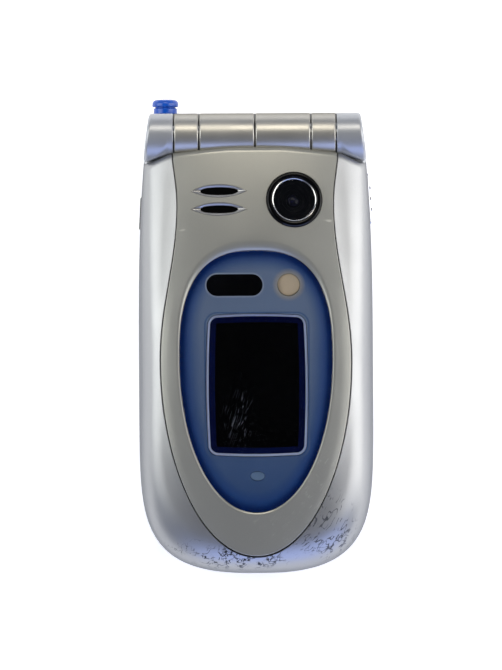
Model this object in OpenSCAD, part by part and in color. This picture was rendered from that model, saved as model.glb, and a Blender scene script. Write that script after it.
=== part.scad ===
// Clamshell camera phone, closed and lying on its back.
// Millimetres. X runs to the right, Y towards the hinge, Z up out of the lid.
// The origin is on the back of the case, at the centre of the body's length and width.

/* [Body] */
// Width of the closed body
body_w = 49; // [46:0.5:54]
// Length of the closed body, without the aerial
body_l = 96.2; // [92:0.2:104]
// Height of the keypad deck above the back
deck_z = 13.4; // [13:0.1:14.4]
// Height of the seam between rear and front case
case_seam_z = 7; // [6.6:0.1:7.4]
// Air between the deck and the closed lid
lid_air = 0.8; // [0.7:0.05:1.2]
// Thickness of the case walls
wall = 1.5; // [1.2:0.1:1.8]
// Width that each side loses at the shoulders
shoulder_taper = 1.1; // [0.6:0.1:1.6]
// How far the rounded back draws in
back_round = 3.4; // [2.4:0.1:3.6]

/* [Lid] */
// Height of the lid's crown above the back
crown_top = 25.5; // [25:0.1:27]
// Fall of the crown from its highest point to the lid's end
crown_fall = 5.41; // [4.4:0.01:5.6]
// Radius of the crown across the phone
crown_across = 90; // [80:1:130]
// Place of the crown's highest point along the phone
crown_y = -8; // [-12:0.5:-4]
// Wall of the lid's outer shell
lid_wall = 1.4; // [1.2:0.1:1.6]
// Distance from the hinge axis back to the lid's end
lid_set_back = 2.7; // [2.5:0.05:2.9]

/* [Hinge] */
// Radius of the hinge barrel
barrel_r = 4.4; // [4.2:0.05:4.5]
// Height of the hinge axis above the back
hinge_z = 16; // [15.9:0.05:16.3]
// Distance from the middle to the outer end of a centre sleeve
sleeve_end = 11.7; // [11:0.1:12]
// Distance from the middle to the outer end of a lid arm
arm_end = 17; // [16.6:0.1:17.2]
// Slit between the two centre sleeves
sleeve_slit = 0.25; // [0.2:0.05:0.5]
// Radius of the hinge pin on the cam side
cam_pin_r = 1.8; // [1.5:0.1:2]
// Radius of the hollow bush on the cable side
bush_r = 2.2; // [2:0.1:2.4]
// Bore of the hollow bush
bush_bore_r = 1.5; // [1.3:0.05:1.6]
// Radius of the cam's body inside its sleeve
cam_body_r = 3.2; // [3:0.1:3.4]
// Radial play of a turning fit
running_play = 0.05; // [0.02:0.01:0.08]
// Gap between parts that turn past each other
swing_gap = 0.35; // [0.3:0.05:0.4]

/* [Lid plate and window] */
// Half width of the plate where it is widest
plate_half = 19.8; // [19.4:0.1:20.2]
// Half width of the plate at its waist
plate_waist = 16.2; // [15.8:0.1:16.6]
// Thickness of the plate at its rim
plate_t = 1.2; // [1:0.1:1.4]
// Half width of the oval window
window_half = 16; // [15.4:0.1:16.4]
// Plate left between the window and the camera
window_to_camera = 4.7; // [4:0.1:5.2]
// Plate left between the window and the plate's tip
window_to_tip = 9; // [8.6:0.1:10]
// Place of the window's widest line
window_y = -3.1; // [-3.6:0.1:-2.6]
// Thickness of the window
window_t = 1.1; // [0.9:0.1:1.2]
// Gap round inlaid parts
seam = 0.15; // [0.12:0.01:0.2]

/* [Outer display] */
// Width of the frame round the outer display
rim_w = 21; // [20:0.2:21.4]
// Length of the frame round the outer display
rim_l = 29.3; // [28:0.1:29.6]
// Width of the frame's band
rim_band = 1.15; // [0.9:0.05:1.3]
// Place of the outer display along the phone
rim_y = -8.7; // [-9:0.1:-8.4]

/* [Camera and lights] */
// Radius of the camera's black ring
camera_r = 5.8; // [5.5:0.1:6]
// Radius of the camera's cover glass
camera_glass_r = 4.6; // [4.2:0.1:4.8]
// Place of the camera across the phone
camera_x = 8.15; // [7.9:0.05:8.3]
// Distance from the hinge axis back to the camera
camera_set_back = 13.8; // [13.5:0.1:14.1]
// Radius of the flash disc
flash_r = 2.3; // [2:0.1:2.5]
// Width of the sensor window
sensor_w = 11.6; // [10.8:0.1:12]
// Height of the sensor window
sensor_h = 4.45; // [4:0.05:4.6]
// Width of a speaker trim
trim_w = 11.6; // [11:0.1:12]
// Height of a speaker trim
trim_h = 2.76; // [2.4:0.02:2.9]
// Distance between the two speaker trims
trim_pitch = 3.8; // [3.6:0.05:4]

/* [Keypad] */
// Width of a digit key
digit_w = 10.5; // [9.8:0.1:10.8]
// Length of a digit key
digit_l = 6.2; // [5.8:0.1:6.6]
// Gap between digit columns
column_gap = 1.7; // [1.4:0.1:1.9]
// Distance between digit rows
digit_pitch_y = 8; // [7.6:0.1:8.2]
// Place of the middle digit row
digit_row_y = -20; // [-20.4:0.1:-19.8]
// Height that a key stands above the deck
key_rise = 0.35; // [0.3:0.05:0.4]
// Travel of a key
key_travel = 0.3; // [0.2:0.05:0.3]
// Gap round a key
key_gap = 0.2; // [0.15:0.01:0.25]
// Outer radius of the navigation ring
nav_r = 9.5; // [9:0.1:9.8]
// Radius of the centre key
centre_r = 3.9; // [3.6:0.1:4.2]

/* [Side parts] */
// Length of the side key
side_key_l = 10.8; // [10:0.1:11.4]
// Height of the side key
side_key_h = 2.6; // [2.2:0.1:2.8]
// Length of the infrared window
ir_l = 6.8; // [6.2:0.1:7.4]
// Radius of the aerial rod
rod_r = 1; // [0.8:0.05:1.1]
// Radius of the aerial knob's cap
knob_r = 2.75; // [2.5:0.05:2.8]
// Height of the knob above the end of the body
knob_h = 3.1; // [2.8:0.1:3.6]
// Distance that the aerial pulls out
aerial_travel = 62; // [50:1:64]
// Distance from the aerial to the phone's side
aerial_set_in = 5.7; // [5.5:0.05:5.9]
// Height of the aerial above the back
aerial_z = 6; // [5.9:0.05:6.1]

/* [Battery] */
// Case left between a case screw and the battery cover
screw_to_cover = 0.9; // [0.8:0.1:1.3]
// Distance from the battery to the body's lower end
battery_set_in = 8.1; // [8:0.1:10]
// Thickness of the battery
battery_t = 4.6; // [4:0.1:4.8]
// Thickness of the battery cover
cover_t = 1.2; // [1:0.1:1.3]
// Place of the cover's inner end
cover_end_y = -4; // [-5:0.1:-3.4]

/* [Hidden] */
$fn = 48;

// Colours
silver = [0.78, 0.79, 0.80];
warm_grey = [0.55, 0.54, 0.52];
lavender = [0.68, 0.70, 0.80];
blue_black = [0.02, 0.03, 0.08];
window_blue = [0.10, 0.20, 0.38];
aerial_blue = [0.05, 0.30, 0.70];
black = [0.03, 0.03, 0.04];
key_silver = [0.82, 0.83, 0.86];
steel = [0.70, 0.70, 0.72];

// Small clearance between pieces of one half
fit = 0.1;
// Overshoot of a cutting shape
over = 1;

half_w = body_w / 2;
aerial_x = aerial_set_in - half_w;
end_y = body_l / 2;
hinge_y = end_y - barrel_r;
lid_end_y = hinge_y - lid_set_back;
camera_y = hinge_y - camera_set_back;
crown_along = pow(lid_end_y - crown_y, 2) / (2 * crown_fall);
digit_pitch_x = digit_w + column_gap;
lid_z = deck_z + lid_air;
widest_y = -4;
// Place along the phone at which the shoulder taper is measured
taper_y = hinge_y - 7.4;
// Exponents of the rounded lower end
end_along = 6;
end_across = 2.7;
swing_r = barrel_r + swing_gap;
// The ears' wings, which flare towards the sides
wing_r = 5.7;
wing_from = arm_end + 1;
wing_to = 22.4;

// Half width of the body at a place along it, above the widest line
function side_x(y) =
    half_w - shoulder_taper * pow(abs(y - widest_y) / (taper_y - widest_y), 3);

// Right half of the outline, from the lower end up to a given top
function right_side(top) = concat(
    [for (a = [88 : -5 : 3])
        [half_w * pow(cos(a), 2 / end_across),
         widest_y - (end_y + widest_y) * pow(sin(a), 2 / end_along)]],
    [for (k = [0 : 8]) let (y = widest_y + (top - widest_y) * k / 8) [side_x(y), y]]);

// The same points mirrored, from the top down, so that the whole runs anticlockwise
function mirrored(pts) = [for (k = [len(pts) - 1 : -1 : 0]) [-pts[k][0], pts[k][1]]];

function body_outline(top) = concat([[0, -end_y]], right_side(top), mirrored(right_side(top)));

// Half of a closed superellipse with different upper and lower lengths
function oval(half, up, down, n_up, n_down, y0, steps) =
    [for (k = [0 : steps - 1]) let (
        a = 360 * k / steps - 90,
        up_side = sin(a) >= 0,
        n = up_side ? n_up : n_down)
        [sign(cos(a)) * half * pow(abs(cos(a)), 2 / n),
         y0 + sign(sin(a)) * (up_side ? up : down) * pow(abs(sin(a)), 2 / n)]];

// Outline of the plate: a waist above, a full oval below
// The plate runs on past the lid's end, where the hinge's clearance trims it
plate_top_y = lid_end_y + 1;
plate_top_half = plate_waist + 1.1;
plate_wide_y = -3.6;
plate_waist_y = hinge_y - 14.7;
plate_tip_y = 3.8 - end_y;
window_up = camera_y - camera_r - window_to_camera - window_y;
window_down = window_y - plate_tip_y - window_to_tip;
function blend(t) = (1 - cos(180 * t)) / 2;
function plate_x(y) = y > plate_waist_y
    ? plate_waist + (plate_top_half - plate_waist) * blend((y - plate_waist_y)
        / (plate_top_y - plate_waist_y))
    : plate_waist + (plate_half - plate_waist) * blend((plate_waist_y - y)
        / (plate_waist_y - plate_wide_y));
function plate_right(grow) = concat(
    [for (a = [85 : -7 : 1]) [(plate_half + grow) * cos(a),
        plate_wide_y - (plate_wide_y - plate_tip_y + grow) * sin(a)]],
    [for (k = [0 : 14]) let (y = plate_wide_y + (plate_top_y + grow - plate_wide_y) * k / 14)
        [plate_x(min(y, plate_top_y)) + grow, y]]);
function plate_outline(grow) = concat([[0, plate_tip_y - grow]], plate_right(grow),
    mirrored(plate_right(grow)));

function window_outline(grow) = oval(window_half + grow, window_up + grow, window_down + grow,
    2.6, 2.05, window_y, 56);

// Height of the lid's crown
function crown(x, y) = crown_top - pow(y - crown_y, 2) / (2 * crown_along)
    - x * x / (2 * crown_across);

// Solid between two surfaces: tops and bottoms hold one height per point, and the lower
// surface may have an outline of its own with as many points
module between(pts, centre, shares, tops, bottoms, low_pts = []) {
    n = len(pts);
    rings = len(shares);
    ring_points = [for (s = shares) for (p = pts) centre + s * (p - centre)];
    under = len(low_pts) > 0 ? low_pts : pts;
    low_points = [for (s = shares) for (p = under) centre + s * (p - centre)];
    points = concat(
        [[centre[0], centre[1], tops[0]]],
        [for (k = [0 : len(ring_points) - 1])
            [ring_points[k][0], ring_points[k][1], tops[k + 1]]],
        [[centre[0], centre[1], bottoms[0]]],
        [for (k = [0 : len(ring_points) - 1])
            [low_points[k][0], low_points[k][1], bottoms[k + 1]]]);
    low = 1 + n * rings;
    function at(k, i) = 1 + k * n + (i % n);
    faces = concat(
        [for (i = [0 : n - 1]) [0, at(0, i + 1), at(0, i)]],
        [for (k = [0 : 1 : rings - 2]) for (i = [0 : n - 1])
            each [[at(k, i), at(k, i + 1), at(k + 1, i + 1)],
                  [at(k, i), at(k + 1, i + 1), at(k + 1, i)]]],
        [for (i = [0 : n - 1])
            each [[at(rings - 1, i), at(rings - 1, i + 1), low + at(rings - 1, i + 1)],
                  [at(rings - 1, i), low + at(rings - 1, i + 1), low + at(rings - 1, i)]]],
        [for (i = [0 : n - 1]) [low, low + at(0, i), low + at(0, i + 1)]],
        [for (k = [0 : 1 : rings - 2]) for (i = [0 : n - 1])
            each [[low + at(k, i), low + at(k + 1, i + 1), low + at(k, i + 1)],
                  [low + at(k, i), low + at(k + 1, i), low + at(k + 1, i + 1)]]]);
    polyhedron(points = points, faces = faces, convexity = 6);
}

// Heights of the crown, moved by lift, at the centre and at each ring point
function crown_heights(pts, centre, shares, lift) = concat(
    [crown(centre[0], centre[1]) + lift],
    [for (s = shares) for (p = pts) let (q = centre + s * (p - centre))
        crown(q[0], q[1]) + lift]);
function flat_heights(pts, shares, z) = [for (k = [0 : len(pts) * len(shares)]) z];

// Share of the full height that is left where the sides roll over
roll_from = 0.8;
roll_n = 2.3;
function roll(s) = s <= roll_from ? 1
    : pow(max(0, 1 - pow((s - roll_from) / (1 - roll_from), roll_n)), 1 / roll_n);

// Share of the height that stands upright at the rim, outside and inside
rim_share = 0.03;
inner_rim_share = 0.3;

shares_flat = [0.25, 0.5, 0.75, 1];
shares_roll = [0.2, 0.4, 0.6, 0.8, 0.86, 0.91, 0.95, 0.98, 0.995, 1];

// Solid under the crown over an outline, with a curved or flat underside
module crowned(pts, centre, lift, depth) {
    between(pts, centre, shares_flat,
        crown_heights(pts, centre, shares_flat, lift),
        crown_heights(pts, centre, shares_flat, lift - depth));
}

// Cutting solid that leaves a floor at the crown's height plus lift
module pocket(pts, centre, lift) {
    between(pts, centre, shares_flat,
        flat_heights(pts, shares_flat, crown_top + over),
        crown_heights(pts, centre, shares_flat, lift));
}

// The lid's cup: its sides roll down to the parting line, and it is hollow from below
lid_centre = [0, widest_y];
lid_form_top = 54;
roof_t = plate_t + fit + 0.8;
// The hollow stops short of the lid's end, which wraps the hinge barrel
hollow_end_y = lid_end_y - 2.8;
shares_cup = concat(shares_roll, [1]);
function cup_heights(pts, drop, rim) = concat(
    [crown(lid_centre[0], lid_centre[1]) - drop],
    [for (k = [0 : len(shares_cup) - 1]) for (p = pts)
        let (s = shares_cup[k], q = lid_centre + s * (p - lid_centre))
        k == len(shares_cup) - 1 ? lid_z
            : lid_z + (crown(q[0], q[1]) - drop - lid_z) * max(roll(s), rim)]);
module lid_cup() {
    outer = body_outline(lid_form_top);
    share = (half_w - lid_wall) / half_w;
    top = widest_y + (hollow_end_y - widest_y) / share;
    inner = [for (p = body_outline(top)) lid_centre + share * (p - lid_centre)];
    between(outer, lid_centre, shares_cup, cup_heights(outer, 0, rim_share),
        cup_heights(inner, roof_t, inner_rim_share), inner);
}

// Places a piece square to the crown's surface
module on_crown(x, y) {
    translate([x, y, crown(x, y)])
        rotate([-atan((y - crown_y) / crown_along), atan(x / crown_across), 0])
            children();
}

// A bar along X round the hinge axis
module hinge_bar(from, to, r) {
    translate([from, hinge_y, hinge_z])
        rotate([0, 90, 0]) cylinder(h = to - from, r = r);
}

// Revolved shape round the hinge axis that flares towards the right side
module wing(grow) {
    translate([0, hinge_y, hinge_z])
        rotate([0, 90, 0])
            rotate_extrude()
                polygon([[0, arm_end - grow / 2], [barrel_r + grow, arm_end - grow / 2],
                    [barrel_r + grow, wing_from], [wing_r + grow, wing_to],
                    [wing_r + grow, half_w + 2], [0, half_w + 2]]);
}

module both_sides() {
    children();
    mirror([1, 0, 0]) children();
}

// Rounded rectangle centred on a point
module round_rect(w, l, r) {
    square([w - 2 * r, l], center = true);
    square([w, l - 2 * r], center = true);
    for (x = [-1, 1], y = [-1, 1])
        translate([x * (w / 2 - r), y * (l / 2 - r)]) circle(r = r, $fn = 24);
}

// Loft of one outline through scaled rings, given as [share, height] from the bottom up
module loft(pts, centre, rings) {
    shares = [for (r = rings) r[0]];
    n = len(pts);
    points = [for (r = rings) for (p = pts)
        let (q = centre + r[0] * (p - centre)) [q[0], q[1], r[1]]];
    last = len(rings) - 1;
    polyhedron(points = points, faces = concat(
        [[for (i = [0 : n - 1]) i]],
        [[for (i = [n - 1 : -1 : 0]) last * n + i]],
        [for (k = [0 : last - 1]) for (i = [0 : n - 1]) let (j = (i + 1) % n)
            each [[k * n + i, (k + 1) * n + i, (k + 1) * n + j],
                  [k * n + i, (k + 1) * n + j, k * n + j]]]), convexity = 6);
}

// Posts that the case screws run in
low_screw = [half_w - 4.7, 22.1 - end_y];
high_screw = [half_w - 10.9, hinge_y - 10.2];
screw_spots = [[-low_screw[0], low_screw[1]], low_screw, [-high_screw[0], high_screw[1]],
    high_screw];
screw_r = 0.9;
screw_head_r = 1.4;
screw_head_h = 1.1;
post_r = 1.9;
module screw_places() {
    for (spot = screw_spots) translate(spot) children();
}

// Places of the keys above the digits
low_row_y = digit_row_y + 2.65 * digit_pitch_y;
nav_y = low_row_y + digit_l / 2 + nav_r + 3.2;
soft_x = 13.8;
soft_y = nav_y + 7;
soft_w = 7.4;
soft_l = 5;
short_y = nav_y - 6.6;
short_w = 7;
short_l = 4.6;
key_round = 1.8;

cover_w = 2 * (low_screw[0] - screw_head_r - screw_to_cover);
battery_w = cover_w - 2.4;
board_z = 8.2;
board_t = 0.8;
mat_z = board_z + board_t;
mat_t = 0.3;
dome_h = 0.55;
dome_gap = 0.15;
deck_t = 1.4;
key_foot_z = mat_z + mat_t + dome_h + dome_gap + key_travel;
key_h = deck_z + key_rise - key_foot_z;
battery_l = cover_end_y - 2 + end_y - battery_set_in;
battery_y = cover_end_y - 2 - battery_l / 2;
battery_z = cover_t + 0.3;

// Half of the back's roundness, as rings for the rear case
function back_rings(inset) = [for (a = [0 : 15 : 90])
    [(half_w - inset - back_round * (1 - sin(a))) / half_w,
     inset + (case_seam_z - 1.5) * (1 - cos(a))]];

module back_form(inset, top) {
    loft(body_outline(end_y - 0.05), [0, 0], concat(back_rings(inset),
        [[(half_w - inset) / half_w, top]]));
}

socket_r = rod_r + running_play + 0.9;
module rear_case() color(silver) difference() {
    back_form(0, case_seam_z);
    difference() {
        back_form(wall, case_seam_z + over);
        screw_places() cylinder(h = case_seam_z, r = post_r);
    }
    cover_cut();
    battery_mouth();
    screw_places() translate([0, 0, -over]) {
        cylinder(h = case_seam_z + 2 * over, r = screw_r + fit);
        cylinder(h = over + screw_head_h + 2 * fit, r = screw_head_r + fit);
    }
    aerial_bore(socket_r + fit);
    connector_mouth();
}

// Recess for the battery cover, open at the lower end
module cover_cut() {
    translate([-cover_w / 2 - seam, -end_y - over, -over])
        cube([cover_w + 2 * seam, end_y + over + cover_end_y + seam, cover_t + over + fit]);
}

module battery_mouth() {
    translate([0, battery_y, 0])
        linear_extrude(case_seam_z)
            square([battery_w + 2 * seam, battery_l + 2 * seam], center = true);
}

module aerial_bore(r) {
    translate([aerial_x, -over, aerial_z])
        rotate([-90, 0, 0]) cylinder(h = end_y + 3, r = r);
}

connector_w = 14;
connector_h = 2.6;
connector_z = 3.4;
module connector_mouth() {
    translate([-connector_w / 2 - fit, -end_y - over, connector_z - fit])
        cube([connector_w + 2 * fit, 8, connector_h + 2 * fit]);
}

module battery_cover() color(silver) intersection() {
    back_form(0, case_seam_z);
    translate([-cover_w / 2, -end_y - over, -over])
        cube([cover_w, end_y + over + cover_end_y, cover_t + over]);
}

module battery() color([0.25, 0.27, 0.32])
    translate([0, battery_y, battery_z]) linear_extrude(battery_t)
        round_rect(battery_w, battery_l, 1.2);

// Shell of the deck side, with the hinge ears and the holes for the keys
inner_share = (half_w - wall) / half_w;
block_y = hinge_y - 5.2;
end_step_z = 12.4;
axial_gap = 0.12;
ear_top_r = (wing_r * wing_r + barrel_r * barrel_r) / (2 * barrel_r);
pin_end = 20.5;

module deck_form(share, bottom, top) {
    translate([0, 0, bottom]) linear_extrude(top - bottom)
        scale(share) polygon(body_outline(end_y));
}

// One ear: a barrel end whose front flares into a wing that rolls down to the deck
module ear() {
    intersection() {
        union() {
            hinge_bar(arm_end + axial_gap, half_w, barrel_r);
            intersection() {
                wing(0);
                translate([0, hinge_y, hinge_z + barrel_r - ear_top_r])
                    rotate([0, 90, 0]) cylinder(h = half_w + over, r = ear_top_r);
                translate([arm_end + axial_gap, hinge_y - 10, deck_z - over])
                    cube([half_w, 10, 10]);
            }
            translate([arm_end + axial_gap, hinge_y, deck_z - over])
                cube([half_w, end_y - hinge_y, hinge_z - deck_z + over]);
        }
        deck_form(1, case_seam_z, hinge_z + 10);
    }
}

module front_case() color(silver) difference() {
    union() {
        deck_form(1, case_seam_z, deck_z);
        both_sides() ear();
    }
    difference() {
        intersection() {
            deck_form(inner_share, case_seam_z - over, deck_z - deck_t);
            translate([-half_w, -body_l, 0]) cube([body_w, body_l + block_y, deck_z]);
        }
        screw_places() translate([0, 0, mat_z + fit / 2]) cylinder(h = deck_z, r = post_r);
    }
    hinge_bar(-sleeve_end, sleeve_end, barrel_r + fit);
    both_sides() hinge_bar(sleeve_end - axial_gap, arm_end + axial_gap, swing_r);
    translate([-arm_end - axial_gap, hinge_y, end_step_z])
        cube([2 * (arm_end + axial_gap), barrel_r + over, deck_z]);
    hinge_bar(-pin_end - fit, -arm_end, cam_pin_r + fit / 5);
    hinge_bar(arm_end, pin_end + fit, bush_r + fit / 5);
    screw_places() cylinder(h = case_seam_z + 4.4, r = screw_r + fit / 5);
    key_holes();
    mic_hole();
    aerial_bore(socket_r + fit);
    at_side(side_key_y) side_block(side_key_l + 2 * side_gap, side_key_h + 2 * side_gap, -3, over);
    mirror([1, 0, 0]) at_side(ir_y) side_block(ir_l + 2 * fit, side_key_h + 2 * fit, -3, over);
    translate([-half_w - over, jack_y, jack_z]) rotate([0, 90, 0])
        cylinder(h = over + 4, r = jack_nose_r + fit);
}

mic_y = 6.1 - end_y;
mic_r = 0.5;
module mic_hole() {
    translate([0, mic_y, mat_z]) cylinder(h = deck_z - mat_z + over, r = mic_r);
}

// Places a piece on the right side of the case, square to its slope
side_key_y = hinge_y - 13.5;
side_key_z = 10.6;
side_gap = 0.25;
ir_y = hinge_y - 16.4;
module at_side(y) {
    slope = (side_x(y - 1) - side_x(y + 1)) / 2;
    translate([side_x(y), y, side_key_z]) rotate([0, 0, atan(slope)]) children();
}
module side_block(l, h, from, to) {
    translate([from, -l / 2, -h / 2]) cube([to - from, l, h]);
}

module side_key() color(steel) at_side(side_key_y) {
    side_block(side_key_l, side_key_h, -1.6, 0.3);
    for (k = [-1 : 1]) translate([0.25, k * side_key_l / 4.8, -side_key_h / 2 + 0.5])
        cylinder(h = side_key_h - 1, r = 0.4, $fn = 24);
}

module ir_window() color(blue_black) mirror([1, 0, 0]) at_side(ir_y)
    side_block(ir_l, side_key_h, -1.4, 0.25);

// Headset jack, open to the left
jack_y = -5;
jack_r = 1.25;
jack_nose_r = 1.65;
jack_z = mat_z + jack_nose_r + 0.05;
jack_depth = 5.5;
jack_nose_l = 3;
jack_block_from = 1.7;
jack_block_w = 5.2;
// The block stops at the digit keys
jack_block_l = half_w - 0.2 - jack_block_from - digit_pitch_x - digit_w / 2 - key_gap;
module headset_jack() color(black) translate([-half_w + 0.2, jack_y, jack_z]) difference() {
    union() {
        rotate([0, 90, 0]) cylinder(h = jack_nose_l, r = jack_nose_r);
        translate([jack_block_from, -jack_block_w / 2, -jack_nose_r])
            cube([jack_block_l, jack_block_w, 2 * jack_nose_r - 0.4]);
    }
    translate([-over, 0, 0]) rotate([0, 90, 0]) cylinder(h = over + jack_depth, r = jack_r);
}

module barrel_sleeve_left() color(warm_grey) difference() {
    hinge_bar(-sleeve_end + axial_gap, -sleeve_slit / 2, barrel_r);
    hinge_bar(-sleeve_end + cam_wall, over, cam_body_r + fit / 5);
    hinge_bar(-sleeve_end - over, over, cam_pin_r + fit / 5);
}

module barrel_sleeve_right() color(warm_grey) difference() {
    hinge_bar(sleeve_slit / 2, sleeve_end - axial_gap, barrel_r);
    hinge_bar(-over, sleeve_end + over, bush_r + fit / 5);
}

// Friction cam: a body in the left sleeve and a pin through the arm into the ear
cam_wall = 1.3;
cam_inner_x = -1.6;
module hinge_cam_unit() color(steel) {
    hinge_bar(-sleeve_end + cam_wall + fit, cam_inner_x, cam_body_r);
    hinge_bar(-pin_end, -sleeve_end + cam_wall + 2 * fit, cam_pin_r);
}

// Hollow bush on the other side, which the cable goes through
bush_inner_x = 1;
module hinge_bush() color(steel) difference() {
    hinge_bar(bush_inner_x, pin_end, bush_r);
    hinge_bar(bush_inner_x - over, pin_end + over, bush_bore_r);
}

module flex_cable() color([0.75, 0.45, 0.15])
    hinge_bar(bush_inner_x + fit, pin_end - fit, bush_bore_r - fit);

module main_board() color([0.10, 0.35, 0.18]) difference() {
    intersection() {
        deck_form((half_w - wall - 0.6) / half_w, board_z, mat_z);
        translate([-half_w, -body_l, 0]) cube([body_w, body_l + block_y - 0.3, deck_z]);
    }
    screw_places() cylinder(h = deck_z, r = screw_r + fit);
}

// Sheet with a metal dome under each key
mat_w = 2 * digit_pitch_x + digit_w - 0.3;
mat_rim = 1.9;
mat_low_y = digit_row_y - 1.5 * digit_pitch_y - digit_l / 2 - mat_rim;
mat_high_y = soft_y + soft_l / 2 + mat_rim;
dome_r = 1.9;
module keypad_mat() color([0.85, 0.86, 0.88]) {
    translate([0, (mat_low_y + mat_high_y) / 2, mat_z]) linear_extrude(mat_t)
        round_rect(mat_w, mat_high_y - mat_low_y, 2);
    for (k = pad_keys) translate([k[0], k[1], mat_z]) cylinder(h = mat_t + dome_h, r = dome_r);
    for (a = [0 : 90 : 270]) translate([0, nav_y, mat_z]) rotate(a)
        translate([(nav_r + centre_r) / 2 + fit, 0]) cylinder(h = mat_t + dome_h, r = dome_r);
    translate([0, nav_y, mat_z]) cylinder(h = mat_t + dome_h, r = dome_r);
}

motor_r = 2.2;
motor_l = 9;
motor_x = 6.5;
speaker_r = 7;
speaker_h = 3.2;
speaker_back_y = hinge_y - 18.7;
motor_y = speaker_back_y - speaker_r - motor_r - 3.8;
module vibration_motor() color(steel)
    translate([motor_x, motor_y, board_z - fit - motor_r])
        rotate([0, 90, 0]) cylinder(h = motor_l, r = motor_r);

module loudspeaker() color(black)
    translate([0, speaker_back_y, board_z - fit - speaker_h])
        cylinder(h = speaker_h, r = speaker_r);

connector_l = 5.4;
connector_in = 0.9;
connector_wall = 0.5;
module bottom_connector() color(steel) difference() {
    translate([-connector_w / 2, -end_y + connector_in, connector_z])
        cube([connector_w, connector_l, connector_h]);
    translate([-connector_w / 2 + connector_wall, -end_y, connector_z + connector_wall])
        cube([connector_w - 2 * connector_wall, connector_in + connector_l - 1.7,
            connector_h - 2 * connector_wall]);
}

module case_screws() color(steel) screw_places() {
    translate([0, 0, fit]) cylinder(h = screw_head_h, r = screw_head_r);
    translate([0, 0, fit]) cylinder(h = case_seam_z + 4.2 - fit, r = screw_r);
}

// Aerial: a socket in the case's end, a rod that slides in it and a knob on the rod
socket_l = 6;
module antenna_socket() color(steel) difference() {
    translate([aerial_x, end_y - 0.1 - socket_l, aerial_z]) rotate([-90, 0, 0])
        cylinder(h = socket_l, r = socket_r);
    aerial_bore(rod_r + running_play);
}

knob_y = end_y + 0.15;
module antenna_rod() color(steel)
    translate([aerial_x, end_y - aerial_travel - 2.1, aerial_z]) rotate([-90, 0, 0])
        cylinder(h = knob_y - end_y + aerial_travel + 2.1, r = rod_r);

neck_r = knob_r - 0.3;
cap_h = 1.65;
module antenna_knob() color(aerial_blue)
    translate([aerial_x, knob_y, aerial_z]) rotate([-90, 0, 0]) {
        cylinder(h = knob_h - cap_h - 0.2, r = neck_r);
        cylinder(h = knob_h - cap_h, r = neck_r - 0.35);
        translate([0, 0, knob_h - 0.15 - cap_h]) rotate_extrude() {
            intersection() {
                translate([knob_r - 0.75, 0.75]) circle(r = 0.75, $fn = 32);
                square([knob_r, cap_h]);
            }
            square([knob_r - 0.75, cap_h]);
            translate([0, 0.75]) square([knob_r - 0.1, 0.2]);
        }
    }

// Keys: places of the round-cornered ones as [x, y, width, length]
function digit_at(column, row) = [column * digit_pitch_x,
    digit_row_y + digit_pitch_y * (1.5 - row), digit_w, digit_l];
function low_at(column) = [column * digit_pitch_x, low_row_y, digit_w, digit_l];
function soft_at(side) = [side * soft_x, soft_y, soft_w, soft_l];
function short_at(side) = [side * soft_x, short_y, short_w, short_l];
pad_keys = concat(
    [for (row = [0 : 3], column = [-1 : 1]) digit_at(column, row)],
    [for (column = [-1 : 1]) low_at(column)],
    [for (side = [-1, 1]) soft_at(side)],
    [for (side = [-1, 1]) short_at(side)]);

module pad_key(place) color(key_silver)
    translate([place[0], place[1], key_foot_z]) linear_extrude(key_h)
        round_rect(place[2], place[3], key_round);

module key_holes() {
    for (k = pad_keys) translate([k[0], k[1], deck_z - deck_t - over])
        linear_extrude(deck_t + 2 * over)
            round_rect(k[2] + 2 * key_gap, k[3] + 2 * key_gap, key_round + key_gap);
    translate([0, nav_y, deck_z - deck_t - over])
        cylinder(h = deck_t + 2 * over, r = nav_r + key_gap);
}

module nav_ring() color(key_silver) translate([0, nav_y, key_foot_z]) difference() {
    cylinder(h = key_h, r = nav_r);
    translate([0, 0, -over]) cylinder(h = key_h + 2 * over, r = centre_r + key_gap);
}
module centre_key() color(key_silver) translate([0, nav_y, key_foot_z])
    cylinder(h = key_h, r = centre_r);
module soft_key_left() pad_key(soft_at(-1));
module soft_key_right() pad_key(soft_at(1));
module mail_key() pad_key(short_at(-1));
module web_key() pad_key(short_at(1));
module call_key() pad_key(low_at(-1));
module clear_key() pad_key(low_at(0));
module end_key() pad_key(low_at(1));
module key_1() pad_key(digit_at(-1, 0));
module key_2() pad_key(digit_at(0, 0));
module key_3() pad_key(digit_at(1, 0));
module key_4() pad_key(digit_at(-1, 1));
module key_5() pad_key(digit_at(0, 1));
module key_6() pad_key(digit_at(1, 1));
module key_7() pad_key(digit_at(-1, 2));
module key_8() pad_key(digit_at(0, 2));
module key_9() pad_key(digit_at(1, 2));
module key_star() pad_key(digit_at(-1, 3));
module key_0() pad_key(digit_at(0, 3));
module key_hash() pad_key(digit_at(1, 3));

// Lid: everything next to the hinge is cut back to clear it as the lid turns
module hinge_clearance() {
    hinge_bar(-half_w - over, half_w + over, swing_r);
    both_sides() wing(swing_gap);
    translate([-half_w - over, lid_end_y, 0]) cube([body_w + 2 * over, 30, 60]);
}

lid_screw_r = 0.8;
lid_screw_head_r = 1.3;
main_w = body_w - 13.4;
pane_rim = 1.2;
pane_w = main_w + 2 * pane_rim;
low_lid_screw = [pane_w / 2 + lid_screw_head_r + 4 * fit, 28.1 - end_y];
high_lid_screw = [half_w - 5.5, hinge_y - 17.7];
lid_screw_spots = [[-low_lid_screw[0], low_lid_screw[1]], low_lid_screw,
    [-high_lid_screw[0], high_lid_screw[1]], high_lid_screw];
frame_t = 2.2;
frame_end_y = hollow_end_y - 0.9;
web_from = frame_end_y - 1;
web_top = 17.6;
module lid_screw_places() {
    for (spot = lid_screw_spots) translate(spot) children();
}

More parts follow.
